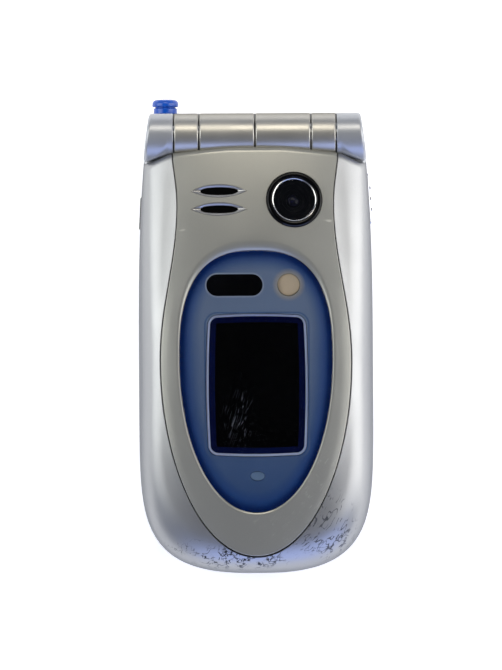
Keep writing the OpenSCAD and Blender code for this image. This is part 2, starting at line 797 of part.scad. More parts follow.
lid_post_r = 1.7;
module lid_outer_shell() color(silver) difference() {
    union() {
        lid_cup();
        for (spot = lid_screw_spots) translate([spot[0], spot[1], lid_z + frame_t + fit])
            cylinder(h = crown(spot[0], spot[1]) - 1.5 - lid_z - frame_t - fit, r = lid_post_r);
    }
    pocket(plate_outline(seam), lid_centre, -plate_t - fit);
    translate([0, 0, lid_z + frame_t]) linear_extrude(20) intersection() {
        polygon(plate_outline(-1.6));
        translate([-half_w, -body_l]) square([body_w, body_l + hollow_end_y]);
    }
    both_sides() translate([sleeve_end, web_from - fit, 0])
        cube([arm_end - sleeve_end, 10, web_top + fit]);
    frame_form(frame_share + fit / half_w, frame_t + 0.8 * fit, frame_end_y + 2 * fit);
    lid_screw_places() cylinder(h = lid_z + frame_t + 3.4, r = lid_screw_r + fit);
    hinge_clearance();
}

// Plate with a sunk floor under the window and holes for what shows through it
floor_t = 1;
display_x = 0.2;
module lid_plate() color(warm_grey) difference() {
    union() {
        crowned(plate_outline(0), lid_centre, 0, plate_t);
        crowned(window_outline(1.2), [0, window_y], -fit, window_t + floor_t);
    }
    pocket(window_outline(seam), [0, window_y], -window_t - fit);
    translate([display_x, rim_y, 0]) linear_extrude(60)
        round_rect(rim_w + 2 * seam, rim_l + 2 * seam, 1.8);
    translate([sensor_x, sensor_y, 0]) linear_extrude(60)
        round_rect(sensor_w + 2 * seam, sensor_h + 2 * seam, sensor_h / 2);
    translate([flash_x, sensor_y, 0]) cylinder(h = 60, r = flash_r + seam);
    translate([display_x, led_y, 0]) linear_extrude(60)
        round_rect(led_w + 2 * seam, led_h + 2 * seam, led_h / 2);
    on_crown(camera_x, camera_y) cylinder(h = 20, r = camera_r + seam, center = true);
    speaker_places() translate([0, 0, -5]) linear_extrude(10) lens_shape(seam);
    hinge_clearance();
}

module sub_window() color(window_blue)
    crowned(window_outline(0), [0, window_y], 0, window_t);

under_window = window_t + 2 * fit;
bezel_top = crown(rim_w / 2, rim_y + rim_l / 2) - under_window;
bezel_h = 1.8;
module display_bezel() color(lavender) translate([display_x, rim_y, bezel_top - bezel_h])
    linear_extrude(bezel_h) difference() {
        round_rect(rim_w, rim_l, 1.7);
        round_rect(rim_w - 2 * rim_band, rim_l - 2 * rim_band, 1);
    }

module sub_display() color(black)
    translate([display_x, rim_y, bezel_top - bezel_h - 1.6]) linear_extrude(1.6)
        square([rim_w - 0.4, rim_l - 0.4], center = true);

sensor_x = -4.4;
sensor_y = rim_y + rim_l / 2 + 3.92 + sensor_h / 2;
flash_x = 6.85;
led_y = rim_y - rim_l / 2 - 4.25;
led_w = 3;
led_h = 1.9;
inlay_h = 1.4;

// Places a piece of a given half size just under the window, by its lowest corner's room
module inlay(x, y, across, along) {
    room = crown(abs(x) + across, abs(y - crown_y) + along + crown_y) - under_window;
    translate([x, y, room - inlay_h]) children();
}
module sensor_window() color(black) inlay(sensor_x, sensor_y, sensor_w / 2, sensor_h / 2)
    linear_extrude(inlay_h) round_rect(sensor_w, sensor_h, sensor_h / 2 - 0.02);
module flash_lens() color([0.85, 0.78, 0.70]) inlay(flash_x, sensor_y, flash_r, flash_r)
    cylinder(h = inlay_h, r = flash_r);
module status_led() color([0.5, 0.6, 0.75]) inlay(display_x, led_y, led_w / 2, led_h / 2)
    linear_extrude(inlay_h) round_rect(led_w, led_h, led_h / 2 - 0.02);

module camera_ring() color(blue_black) on_crown(camera_x, camera_y) rotate_extrude()
    polygon([[camera_glass_r, -2.2], [camera_r, -2.2], [camera_r, 0.1], [camera_r - 0.25, 0.35],
        [camera_glass_r + 0.25, 0.35], [camera_glass_r, 0.1]]);
module camera_lens() color(black) on_crown(camera_x, camera_y)
    translate([0, 0, -1]) cylinder(h = 0.8, r = camera_glass_r - fit);
module_gap = 0.9;
module_deep = crown(camera_x, camera_y) - lid_z - frame_t - module_gap;
module camera_module() color(black) on_crown(camera_x, camera_y)
    translate([0, 0, -module_deep]) cylinder(h = module_deep - 1.1, r = camera_glass_r - 2 * fit);

// Two lens-shaped trims over the loudspeaker's slots
speaker_x = -7.55;
speaker_y = camera_y;
trim_slot_w = 7.9;
trim_slot_h = 1.6;
module speaker_places() {
    for (k = [-1, 1]) on_crown(speaker_x, speaker_y + k * trim_pitch / 2) children();
}
module lens_shape(grow) {
    bow = (trim_w * trim_w / 4 + trim_h * trim_h / 4) / trim_h;
    intersection_for (k = [-1, 1]) translate([0, k * (bow - trim_h / 2)])
        circle(r = bow + grow, $fn = 160);
}
module speaker_trims() color(steel) speaker_places() translate([0, 0, -1]) difference() {
    linear_extrude(0.95) lens_shape(0);
    translate([0, 0, -over]) linear_extrude(3) round_rect(trim_slot_w, trim_slot_h, 0.7);
}

// Inner frame: the lid's chassis, with the two hinge arms
main_y = -6;
main_l = body_l - 50.2;
pane_l = main_l + 10;
pane_t = 0.8;
ear_y = 7.5 - end_y;
low_bumper = [half_w - 5.9, 11.6 - end_y];
high_bumper = [half_w - 5, hinge_y - 12.2];
bumper_spots = [[-low_bumper[0], low_bumper[1]], low_bumper,
    [-high_bumper[0], high_bumper[1]], high_bumper];
bumper_r = 1.4;
bumper_out = 0.45;
// The frame keeps clear of the shell's wall, which leans in above the parting line
frame_share = (half_w - lid_wall - fit - 0.4) / half_w;
module bumper_places() {
    for (spot = bumper_spots) translate(spot) children();
}

// The frame's flat body, from the parting line up
module frame_form(share, thick, end) {
    intersection() {
        translate([0, 0, lid_z]) linear_extrude(thick)
            scale(share) polygon(body_outline(lid_form_top));
        translate([-half_w, -body_l, 0]) cube([body_w, body_l + end, 60]);
    }
}

module lid_inner_frame() color(warm_grey) difference() {
    union() {
        difference() {
            frame_form(frame_share, frame_t, frame_end_y);
            both_sides() wing(swing_gap);
            hinge_bar(-half_w - over, half_w + over, swing_r);
        }
        both_sides() {
            hinge_bar(sleeve_end + axial_gap, arm_end - axial_gap, barrel_r);
            translate([sleeve_end + axial_gap, web_from, lid_z])
                cube([arm_end - sleeve_end - 2 * axial_gap, hinge_y - web_from, web_top - lid_z]);
        }
    }
    hinge_bar(-half_w, 0, cam_pin_r + running_play);
    hinge_bar(0, half_w, bush_r + running_play);
    translate([0, main_y, lid_z - over]) linear_extrude(over + pane_t + fit)
        round_rect(pane_w + 2 * fit, pane_l + 2 * fit, 2.1);
    translate([0, main_y, lid_z - over]) linear_extrude(over + frame_t + over)
        square([main_w + 2 * fit, main_l + 2 * fit], center = true);
    translate([0, ear_y, lid_z - over]) linear_extrude(over + frame_t + over)
        round_rect(9, 1.6, 0.79);
    lid_screw_places() translate([0, 0, lid_z - over]) {
        cylinder(h = 20, r = lid_screw_r + fit);
        cylinder(h = over + 1.2, r = lid_screw_head_r + fit);
    }
    bumper_places() translate([0, 0, lid_z - over]) cylinder(h = over + 0.5, r = bumper_r + fit);
}

module main_window() color(blue_black) translate([0, main_y, lid_z + 0.05])
    linear_extrude(pane_t - 0.05) round_rect(pane_w, pane_l, 2);

module main_display() color(black) translate([0, main_y, lid_z + pane_t + fit])
    linear_extrude(inner_h) square([main_w, main_l], center = true);

earpiece_w = 11;
earpiece_l = 5.2;
layer_gap = 2.25;
inner_h = bezel_top - bezel_h - 1.6 - layer_gap - (lid_z + pane_t + fit);
module earpiece() color(steel)
    translate([-earpiece_w / 2, ear_y - earpiece_l / 2, lid_z + frame_t + fit])
        cube([earpiece_w, earpiece_l, inner_h]);

module lid_bumpers() color(warm_grey) bumper_places()
    translate([0, 0, lid_z - bumper_out]) cylinder(h = bumper_out + 0.45, r = bumper_r);

module lid_screws() color(steel) lid_screw_places() {
    translate([0, 0, lid_z + fit]) cylinder(h = 1, r = lid_screw_head_r);
    translate([0, 0, lid_z + fit]) cylinder(h = frame_t + 3.1, r = lid_screw_r);
}

rear_case();
front_case();
barrel_sleeve_left();
barrel_sleeve_right();
hinge_cam_unit();
hinge_bush();
flex_cable();
main_board();
keypad_mat();
battery();
vibration_motor();
loudspeaker();
bottom_connector();
headset_jack();
antenna_socket();
ir_window();
case_screws();
battery_cover();
antenna_rod();
antenna_knob();
side_key();
nav_ring();
centre_key();
soft_key_left();
soft_key_right();
mail_key();
web_key();
call_key();
clear_key();
end_key();
key_1();
key_2();
key_3();
key_4();
key_5();
key_6();
key_7();
key_8();
key_9();
key_star();
key_0();
key_hash();
lid_outer_shell();
lid_plate();
sub_window();
display_bezel();
sub_display();
flash_lens();
sensor_window();
status_led();
camera_ring();
camera_lens();
camera_module();
speaker_trims();
lid_inner_frame();
main_window();
main_display();
earpiece();
lid_bumpers();
lid_screws();
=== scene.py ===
"""Looks of a closed clamshell camera phone on its back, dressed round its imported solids."""

import logging
import math
from dataclasses import dataclass, field
from enum import Enum
from typing import Callable, Dict, List, Optional, Sequence, Tuple

import bmesh
import bpy
from mathutils import Matrix, Vector


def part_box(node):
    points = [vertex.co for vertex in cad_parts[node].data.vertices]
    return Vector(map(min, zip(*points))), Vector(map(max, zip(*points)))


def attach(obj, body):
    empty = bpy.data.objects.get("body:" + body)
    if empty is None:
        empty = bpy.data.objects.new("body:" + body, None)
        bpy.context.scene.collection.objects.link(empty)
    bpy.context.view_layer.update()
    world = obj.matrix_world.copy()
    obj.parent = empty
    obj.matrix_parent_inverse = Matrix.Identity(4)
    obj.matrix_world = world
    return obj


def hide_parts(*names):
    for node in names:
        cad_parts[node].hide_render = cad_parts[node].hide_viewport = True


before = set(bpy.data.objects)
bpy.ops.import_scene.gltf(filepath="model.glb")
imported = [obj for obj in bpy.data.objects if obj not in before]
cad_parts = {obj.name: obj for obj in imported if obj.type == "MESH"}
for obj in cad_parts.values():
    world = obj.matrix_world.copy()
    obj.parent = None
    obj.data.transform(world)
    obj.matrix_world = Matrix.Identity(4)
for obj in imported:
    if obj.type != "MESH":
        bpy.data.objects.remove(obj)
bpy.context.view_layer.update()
LOG = logging.getLogger("phone")
logging.basicConfig(level=logging.INFO, format="%(message)s")

MM = 0.001
SMOOTH_ANGLE = math.radians(32)
# Height in millimetres of the parts let into the phone's sides
SIDE_PARTS_Z = 10.6
# Height of the picture over its width, and of the camera's sensor in millimetres
PICTURE_TALL = 670 / 502
SENSOR_HEIGHT = 36.0
# Height of the floor in metres, just under the phone's back
FLOOR_Z = -0.00005

Point = Tuple[float, float]
Links = Dict[str, object]
Socket = bpy.types.NodeSocket
Tree = bpy.types.NodeTree
Mesh = bmesh.types.BMesh


# ---------------------------------------------------------------- colours and materials


def linear(code: str, alpha: float = 1.0) -> Tuple[float, float, float, float]:
    """Turns an sRGB hex colour into the linear values that the shaders take.

    Args:
        code: The colour as six hex digits.
        alpha: The fourth value.

    Returns:
        Linear red, green and blue, and alpha.
    """
    parts = [int(code[k:k + 2], 16) / 255 for k in (0, 2, 4)]
    red, green, blue = [c / 12.92 if c <= 0.04045 else ((c + 0.055) / 1.055) ** 2.4 for c in parts]
    return red, green, blue, alpha


class Grain(Enum):
    """The fine surface that a finish shows."""

    FLAKE = "metallic flakes in lacquer"
    MOULDED = "fine spark-eroded mould texture"
    POLISHED = "polished, with hairline wear"
    TURNED = "turned or brushed metal"
    FILM = "smooth film"


class Wear(Enum):
    """Where a finish carries scratch lines: real scratches on the plate and the display, and
    painted shade at the lower end of the silver shell.
    """

    NONE = "as new"
    # Painted shade: dark scratch lines that darken the lower end of the silver shell and its
    # corners
    LOWER_END = "dark scuffs at the lower end"
    PLATE = "fine pale scratches"
    GLASS = "hairlines on the display"


@dataclass(frozen=True)
class Marks:
    """One patch of scratch lines: where it lies in millimetres, and how its lines run."""

    x: float
    y: float
    half_w: float
    half_l: float
    lean: float
    squeeze: float
    per_metre: float
    line: float
    strength: float = 1.0


MARKS: Dict[Wear, List[Marks]] = {
    # Painted shade: dark scratch lines over the silver shell's lower end and its two lower corners
    Wear.LOWER_END: [Marks(-3.4, -44.6, 12.5, 2.9, 0.9, 0.5, 900, 0.045),
                     Marks(-2.0, -44.9, 8.5, 2.6, 0.3, 0.4, 1100, 0.05),
                     Marks(14.8, -37.8, 6.5, 8.2, 0.45, 0.28, 1000, 0.04, 0.9),
                     Marks(13.5, -41.0, 7.0, 3.6, 1.0, 0.4, 900, 0.04, 0.9),
                     Marks(-15.0, -42.5, 6.0, 2.4, 0.6, 0.3, 900, 0.02, 0.6)],
    Wear.PLATE: [Marks(12.5, -27.0, 6.5, 14.0, 0.5, 0.12, 1300, 0.012, 0.4),
                 Marks(5.0, -38.0, 9.0, 5.0, 0.9, 0.15, 1200, 0.012, 0.3),
                 Marks(-15.4, 23.7, 1.0, 0.3, 1.5, 0.3, 900, 0.2, 0.5),
                 Marks(15.1, 25.4, 1.1, 0.35, 1.5, 0.3, 900, 0.2, 0.5)],
    Wear.GLASS: [Marks(-3.8, -15.0, 4.2, 9.0, 0.3, 0.05, 1500, 0.012, 0.35),
                 Marks(-3.4, -18.5, 3.6, 4.5, 0.35, 0.07, 1700, 0.014, 0.45)]}


@dataclass(frozen=True)
class Finish:
    """One finish: a real material, its colour and how it was made."""

    name: str
    colour: str
    roughness: float
    grain: Grain = Grain.MOULDED
    metallic: float = 0.0
    coat: float = 0.0
    coat_roughness: float = 0.08
    grit_mm: float = 0.25
    bump: float = 0.04
    shade: float = 0.05
    ior: float = 1.5
    edge_tint: str = "ffffff"
    transmission: float = 0.0
    wear: Wear = Wear.NONE
    # Colour of the scratch lines; the dark default paints shade at the silver shell's lower end
    wear_colour: str = "3a3c42"
    glow: float = 0.0


def add(tree: Tree, kind: str, settings: Optional[dict] = None,
        links: Optional[Links] = None) -> bpy.types.Node:
    """Adds one node with its settings and its input links.

    Args:
        tree: The node tree.
        kind: The node's type name.
        settings: Attributes, or input values where the name is one of its inputs.
        links: Output sockets by input name or number.

    Returns:
        The new node.
    """
    node = tree.nodes.new(kind)
    for key, value in (settings or {}).items():
        if hasattr(node, key):
            setattr(node, key, value)
        else:
            node.inputs[int(key) if key.isdigit() else key].default_value = value
    for key, socket in (links or {}).items():
        tree.links.new(socket, node.inputs[int(key) if key.isdigit() else key])
    return node


def ramp(tree: Tree, source: Socket, low: float, high: float,
         low_value: float = 0.0, high_value: float = 1.0) -> Socket:
    """Maps a range of one value onto another, clamped.

    Args:
        tree: The node tree.
        source: The value's socket.
        low: Value at which the result is low_value.
        high: Value at which the result is high_value.
        low_value: Result at the lower end.
        high_value: Result at the upper end.

    Returns:
        The mapped socket.
    """
    return add(tree, "ShaderNodeMapRange", {"From Min": low, "From Max": high, "To Min": low_value,
                                            "To Max": high_value},
               {"Value": source}).outputs["Result"]


def mix_colour(tree: Tree, share: Socket, first: object,
               second: object) -> Socket:
    """Mixes two colours, each a socket or four numbers, by a share.

    Args:
        tree: The node tree.
        share: The socket that gives the second colour's share.
        first: The colour at a share of 0.
        second: The colour at a share of 1.

    Returns:
        The mixed colour's socket.
    """
    node = add(tree, "ShaderNodeMix", {"data_type": "RGBA"})
    tree.links.new(share, node.inputs[0])
    for slot_number, colour in ((6, first), (7, second)):
        if isinstance(colour, Socket):
            tree.links.new(colour, node.inputs[slot_number])
        else:
            node.inputs[slot_number].default_value = colour
    return node.outputs[2]


def math_node(tree: Tree, operation: str, first: Socket,
              second: object = 0.0) -> Socket:
    """Adds one maths node.

    Args:
        tree: The node tree.
        operation: The node's operation.
        first: Socket of the first value.
        second: The second value, a socket or a number.

    Returns:
        The result's socket.
    """
    node = add(tree, "ShaderNodeMath", {"operation": operation}, {"0": first})
    if isinstance(second, Socket):
        tree.links.new(second, node.inputs[1])
    else:
        node.inputs[1].default_value = second
    return node.outputs[0]


def beyond(tree: Tree, place: Socket, centre: "Point",
           half: "Point") -> Socket:
    """Distance in metres of a place from a flat box, 0 inside it.

    Args:
        tree: The node tree.
        place: Object coordinates.
        centre: The box's centre in millimetres.
        half: Its half width and half length in millimetres.

    Returns:
        The distance's socket.
    """
    off = add(tree, "ShaderNodeVectorMath",
              {"operation": "SUBTRACT", "1": (centre[0] * MM, centre[1] * MM, 0)},
              {"0": place}).outputs["Vector"]
    size = add(tree, "ShaderNodeVectorMath", {"operation": "ABSOLUTE"},
               {"0": off}).outputs["Vector"]
    over = add(tree, "ShaderNodeVectorMath",
               {"operation": "SUBTRACT", "1": (half[0] * MM, half[1] * MM, 1.0)},
               {"0": size}).outputs["Vector"]
    clear = add(tree, "ShaderNodeVectorMath", {"operation": "MAXIMUM", "1": (0.0, 0.0, 0.0)},
                {"0": over}).outputs["Vector"]
    return add(tree, "ShaderNodeVectorMath", {"operation": "LENGTH"}, {"0": clear}).outputs["Value"]


class Finisher:
    """Builds each finish's material once, and dresses pieces with it."""

    def __init__(self) -> None:
        """Starts with no material made."""
        self.made: Dict[str, bpy.types.Material] = {}

    def material(self, finish: Finish) -> bpy.types.Material:
        """Gives the material of a finish, which is made when first asked for."""
        if finish.name not in self.made:
            self.made[finish.name] = self._build(finish)
        return self.made[finish.name]

    def _build(self, finish: Finish) -> bpy.types.Material:
        """Makes the node tree of one finish.

        Args:
            finish: What to make.

        Returns:
            The new material.
        """
        material = bpy.data.materials.new(finish.name)
        material.use_nodes = True
        tree = material.node_tree
        shader = tree.nodes["Principled BSDF"]
        shader.inputs["Metallic"].default_value = finish.metallic
        shader.inputs["IOR"].default_value = finish.ior
        shader.inputs["Coat Weight"].default_value = finish.coat
        shader.inputs["Coat Roughness"].default_value = finish.coat_roughness
        shader.inputs["Specular Tint"].default_value = linear(finish.edge_tint)
        shader.inputs["Transmission Weight"].default_value = finish.transmission
        place = add(tree, "ShaderNodeTexCoord").outputs["Object"]
        fine, broad = self._noises(tree, finish, place)
        base = linear(finish.colour)
        dark = tuple(c * (1 - finish.shade) for c in base[:3]) + (1.0,)
        light = tuple(min(1.0, c * (1 + finish.shade)) for c in base[:3]) + (1.0,)
        colour = mix_colour(tree, ramp(tree, fine, 0.3, 0.7), dark, light)
        rough = ramp(tree, broad, 0.3, 0.7, finish.roughness * 0.92, finish.roughness * 1.08)
        if finish.wear is not Wear.NONE:
            colour, rough = self._worn(tree, finish, place, colour, rough)
        tree.links.new(colour, shader.inputs["Base Color"])
        tree.links.new(rough, shader.inputs["Roughness"])
        if finish.glow > 0:
            tree.links.new(colour, shader.inputs["Emission Color"])
            shader.inputs["Emission Strength"].default_value = finish.glow
        if finish.bump > 0:
            bump = add(tree, "ShaderNodeBump",
                       {"Strength": finish.bump, "Distance": finish.grit_mm * MM},
                       {"Height": fine})
            tree.links.new(bump.outputs["Normal"], shader.inputs["Normal"])
        return material

    def _noises(self, tree: Tree, finish: Finish,
                place: Socket) -> Tuple[Socket, Socket]:
        """Makes the fine grain and the broad variation of a finish.

        Args:
            tree: The node tree.
            finish: The finish, whose grit_mm sets the grain's real size.
            place: Object coordinates.

        Returns:
            The fine and the broad pattern's sockets.
        """
        per_metre = 1 / (finish.grit_mm * MM)
        stretch = (0.04, 1, 1) if finish.grain is Grain.TURNED else (1, 1, 1)
        mapped = add(tree, "ShaderNodeMapping", {"Scale": stretch},
                     {"Vector": place}).outputs["Vector"]
        detail = 6.0 if finish.grain is Grain.FLAKE else 2.0
        fine = add(tree, "ShaderNodeTexNoise", {"Scale": per_metre, "Detail": detail},
                   {"Vector": mapped})
        broad = add(tree, "ShaderNodeTexNoise", {"Scale": 120.0, "Detail": 3.0}, {"Vector": place})
        return fine.outputs["Fac"], broad.outputs["Fac"]

    def _worn(self, tree: Tree, finish: Finish, place: Socket,
              colour: Socket,
              rough: Socket) -> Tuple[Socket, Socket]:
        """Adds scratch lines in each of the finish's patches: real scratches, and at the silver
        shell's lower end painted shade.

        Args:
            tree: The node tree.
            finish: The finish, and which patches its lines go in.
            place: Object coordinates.
            colour: The colour without the lines.
            rough: The roughness without the lines.

        Returns:
            The colour and roughness with the lines.
        """
        amounts = [self._scratched(tree, marks, place) for marks in MARKS[finish.wear]]
        amount = amounts[0]
        for other in amounts[1:]:
            amount = math_node(tree, "MAXIMUM", amount, other)
        lined_colour = mix_colour(tree, amount, colour, linear(finish.wear_colour))
        rougher = add(tree, "ShaderNodeMath", {"operation": "MULTIPLY_ADD", "1": 0.35},
                      {"0": amount, "2": rough}).outputs[0]
        return lined_colour, rougher

    def _scratched(self, tree: Tree, marks: Marks,
                   place: Socket) -> Socket:
        """Draws the lines of one patch: contours of stretched noise, broken up and kept to an oval.

        Args:
            tree: The node tree.
            marks: The patch.
            place: Object coordinates.

        Returns:
            The socket that is 1 on a line.
        """
        bent = add(tree, "ShaderNodeMapping",
                   {"vector_type": "TEXTURE", "Rotation": (0, 0, -marks.lean),
                    "Scale": (1, 1 / marks.squeeze, 1)}, {"Vector": place}).outputs["Vector"]
        noise = add(tree, "ShaderNodeTexNoise", {"Scale": float(marks.per_metre), "Detail": 1.0},
                    {"Vector": bent}).outputs["Fac"]
        off = math_node(tree, "ABSOLUTE", math_node(tree, "SUBTRACT", noise, 0.5))
        lines = ramp(tree, off, marks.line, marks.line * 0.3)
        gaps = add(tree, "ShaderNodeTexNoise", {"Scale": 520.0, "Detail": 1.0}, {"Vector": place})
        broken = ramp(tree, gaps.outputs["Fac"], 0.47, 0.53)
        oval = add(tree, "ShaderNodeMapping",
                   {"vector_type": "TEXTURE", "Location": (marks.x * MM, marks.y * MM, 0),
                    "Scale": (marks.half_w * MM, marks.half_l * MM, 1000.0)}, {"Vector": place})
        far = add(tree, "ShaderNodeVectorMath", {"operation": "LENGTH"},
                  {"0": oval.outputs["Vector"]}).outputs["Value"]
        inside = ramp(tree, far, 1.0, 0.55, 0.0, marks.strength)
        return math_node(tree, "MULTIPLY", math_node(tree, "MULTIPLY", lines, broken), inside)


# ---------------------------------------------------------------- forms, in millimetres


def low_mm(node: str) -> Vector:
    """Lowest corner of a CAD node, in millimetres."""
    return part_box(node)[0] / MM


def high_mm(node: str) -> Vector:
    """Highest corner of a CAD node, in millimetres."""
    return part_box(node)[1] / MM


def signed_power(value: float, exponent: float) -> float:
    """Raises a number's size to a power and keeps its sign."""
    return math.copysign(abs(value) ** exponent, value)


def eased(t: float) -> float:
    """Smooth step from 0 to 1."""
    t = min(1.0, max(0.0, t))
    return (1 - math.cos(math.pi * t)) / 2


def quarter(t: float) -> float:
    """Height of a quarter round: 0 at its foot, 1 where it runs out."""
    t = min(1.0, max(0.0, t))
    return math.sqrt(max(0.0, 1 - (1 - t) ** 2))


@dataclass
class Form:
    """Outlines and surfaces that the shells share, as the construction has them."""

    half_width: float = field(default_factory=lambda: high_mm("rear_case").x)
    end_y: float = field(default_factory=lambda: -low_mm("rear_case").y)
    seam_z: float = field(default_factory=lambda: high_mm("rear_case").z)
    lid_z: float = field(default_factory=lambda: low_mm("lid_outer_shell").z)
    key_top: float = field(default_factory=lambda: high_mm("key_5").z)
    barrel_r: float = field(default_factory=lambda: (high_mm("barrel_sleeve_left").z
                                                     - low_mm("barrel_sleeve_left").z) / 2)
    hinge_y: float = 43.7
    hinge_z: float = 16.0
    key_rise: float = 0.35
    widest_y: float = -4.0
    taper: float = 1.1
    taper_y: float = 36.3
    end_along: float = 6.0
    end_across: float = 2.7
    crown_top: float = 25.5
    crown_y: float = -8.0
    crown_along: float = 222.0
    crown_across: float = 90.0
    roll_from: float = 0.8
    roll_power: float = 2.3
    rim_share: float = 0.03
    lid_end: float = 41.0
    swing_gap: float = 0.35
    sleeve_end: float = 11.7
    arm_end: float = 17.0
    axial_gap: float = 0.12
    wing_r: float = 5.7
    wing_from: float = 18.0
    wing_to: float = 22.4
    end_step: float = 0.25
    ends: List[float] = field(default_factory=list)

    @property
    def deck_z(self) -> float:
        """Height of the keypad deck."""
        return self.key_top - self.key_rise

    def side_x(self, y: float) -> float:
        """Half width of the body at a place above its widest line."""
        return self.half_width - self.taper * (abs(y - self.widest_y)
                                               / (self.taper_y - self.widest_y)) ** 3

    def lower_half(self, y: float) -> float:
        """Half width of the body at a place below its widest line."""
        t = min(1.0, (self.widest_y - y) / (self.end_y + self.widest_y))
        return self.half_width * (1 - t ** self.end_along) ** (1 / self.end_across)

    def half_at(self, y: float) -> float:
        """Half width of the body anywhere."""
        return self.side_x(y) if y > self.widest_y else self.lower_half(y)

    def right_side(self, top: float, low_steps: int = 44, high_steps: int = 30) -> List[Point]:
        """Right half of the outline from the lower end's middle up to a top.

        Args:
            top: Where the outline ends.
            low_steps: Points round the lower end.
            high_steps: Points up the side.

        Returns:
            Points from the bottom up.
        """
        reach = self.end_y + self.widest_y
        low = []
        for k in range(low_steps + 1):
            a = math.pi / 2 * (1 - k / low_steps)
            x = self.half_width * math.cos(a) ** (2 / self.end_across)
            low.append((x, self.widest_y - reach * math.sin(a) ** (2 / self.end_along)))
        low[0] = (0.0, -self.end_y)
        high = []
        for k in range(1, high_steps + 1):
            y = self.widest_y + (top - self.widest_y) * k / high_steps
            high.append((self.side_x(y), y))
        return low + high

    def outline(self, top: float) -> List[Point]:
        """Whole outline, anticlockwise from the lower end's middle."""
        right = self.right_side(top)
        return right + [(-x, y) for x, y in reversed(right[1:])]

    def crown(self, x: float, y: float) -> float:
        """Height of the lid's crown."""
        return (self.crown_top - (y - self.crown_y) ** 2 / (2 * self.crown_along)
                - x * x / (2 * self.crown_across))

    def tilt(self, x: float, y: float) -> Matrix:
        """Place and turn that set a piece square on the crown, in millimetres."""
        along = -math.atan((y - self.crown_y) / self.crown_along)
        across = math.atan(x / self.crown_across)
        turn = Matrix.Rotation(across, 4, "Y") @ Matrix.Rotation(along, 4, "X")
        return Matrix.Translation((x, y, self.crown(x, y))) @ turn

    def share(self, x: float, y: float) -> float:
        """Share of the lid's outline, from its centre, on which a point lies."""
        low, high = 0.0, 1.6
        for _ in range(22):
            s = (low + high) / 2
            py = self.widest_y + (y - self.widest_y) / max(s, 1e-6)
            inside = -self.end_y < py < 60 and abs(x) / max(s, 1e-6) < self.half_at(py)
            low, high = (low, s) if inside else (s, high)
        return low

    def roll(self, s: float) -> float:
        """Share of the lid's height that is left at a share of its outline."""
        if s <= self.roll_from:
            return 1.0
        u = min(1.0, (s - self.roll_from) / (1 - self.roll_from))
        return max(self.rim_share, (1 - u ** self.roll_power) ** (1 / self.roll_power))

    def lid_top(self, x: float, y: float) -> float:
        """Height of the lid's outside."""
        return self.lid_z + (self.crown(x, y) - self.lid_z) * self.roll(self.share(x, y))

    def wing_radius(self, x: float) -> float:
        """Reach of an ear's front from the hinge axis, across the phone."""
        t = (abs(x) - self.wing_from) / (self.wing_to - self.wing_from)
        return self.barrel_r + (self.wing_r - self.barrel_r) * min(1.0, max(0.0, t))

    def end_line(self, x: float) -> float:
        """Place of the lid's end across the phone, from a table made at the first call."""
        if not self.ends:
            self.ends = [self.end_at(k * self.end_step) for k in range(102)]
        place = min(100.99, abs(x) / self.end_step)
        k = int(place)
        return self.ends[k] + (self.ends[k + 1] - self.ends[k]) * (place - k)

    def end_at(self, x: float) -> float:
        """Place of the lid's end where its outside meets the hinge's clearance."""
        clear = self.swing_gap + (self.wing_radius(x) if abs(x) > self.arm_end else self.barrel_r)
        y = self.lid_end
        for _ in range(24):
            rise = min(clear, abs(self.lid_top(x, y) - self.hinge_z))
            y = min(self.lid_end, self.hinge_y - math.sqrt(clear * clear - rise * rise))
        return y


# ---------------------------------------------------------------- mesh tools

PHONE = Form()
FINISHER = Finisher()


def edge_round(distance: float, radius: float) -> float:
    """Drop of a rounded edge at a distance inside it."""
    return radius * (1 - quarter(distance / radius))


def mapped_grid(across: int, along: int, place: Callable[[int, int], Sequence[float]],
                merge: float = 0.002) -> Mesh:
    """Lays a grid over a surface, and merges the points that meet.

    Args:
        across: Steps of the first count.
        along: Steps of the second count.
        place: Gives the point in millimetres for a step across and a step along.
        merge: Distance in millimetres at which points become one.

    Returns:
        The mesh, still in millimetres.
    """
    bm = bmesh.new()
    bmesh.ops.create_grid(bm, x_segments=across, y_segments=along, size=0.5)
    for vert in bm.verts:
        vert.co = Vector(place(round((vert.co.x + 0.5) * across), round((vert.co.y + 0.5) * along)))
    bmesh.ops.remove_doubles(bm, verts=bm.verts, dist=merge)
    bmesh.ops.recalc_face_normals(bm, faces=bm.faces)
    return bm


def even_path(points: Sequence[Point], spacing: float) -> List[Point]:
    """The same line with points a steady distance apart.

    Args:
        points: The line.
        spacing: Wanted distance between points, in millimetres.

    Returns:
        New points, the first and last kept.
    """
    lengths = [0.0]
    for a, b in zip(points, points[1:]):
        lengths.append(lengths[-1] + math.dist(a, b))
    count = max(2, round(lengths[-1] / spacing))
    result, k = [], 0
    for n in range(count + 1):
        goal = lengths[-1] * n / count
        while k < len(lengths) - 2 and lengths[k + 1] < goal:
            k += 1
        span = lengths[k + 1] - lengths[k]
        part = (goal - lengths[k]) / span if span else 0.0
        a, b = points[k], points[k + 1]
        result.append((a[0] + (b[0] - a[0]) * part, a[1] + (b[1] - a[1]) * part))
    return result


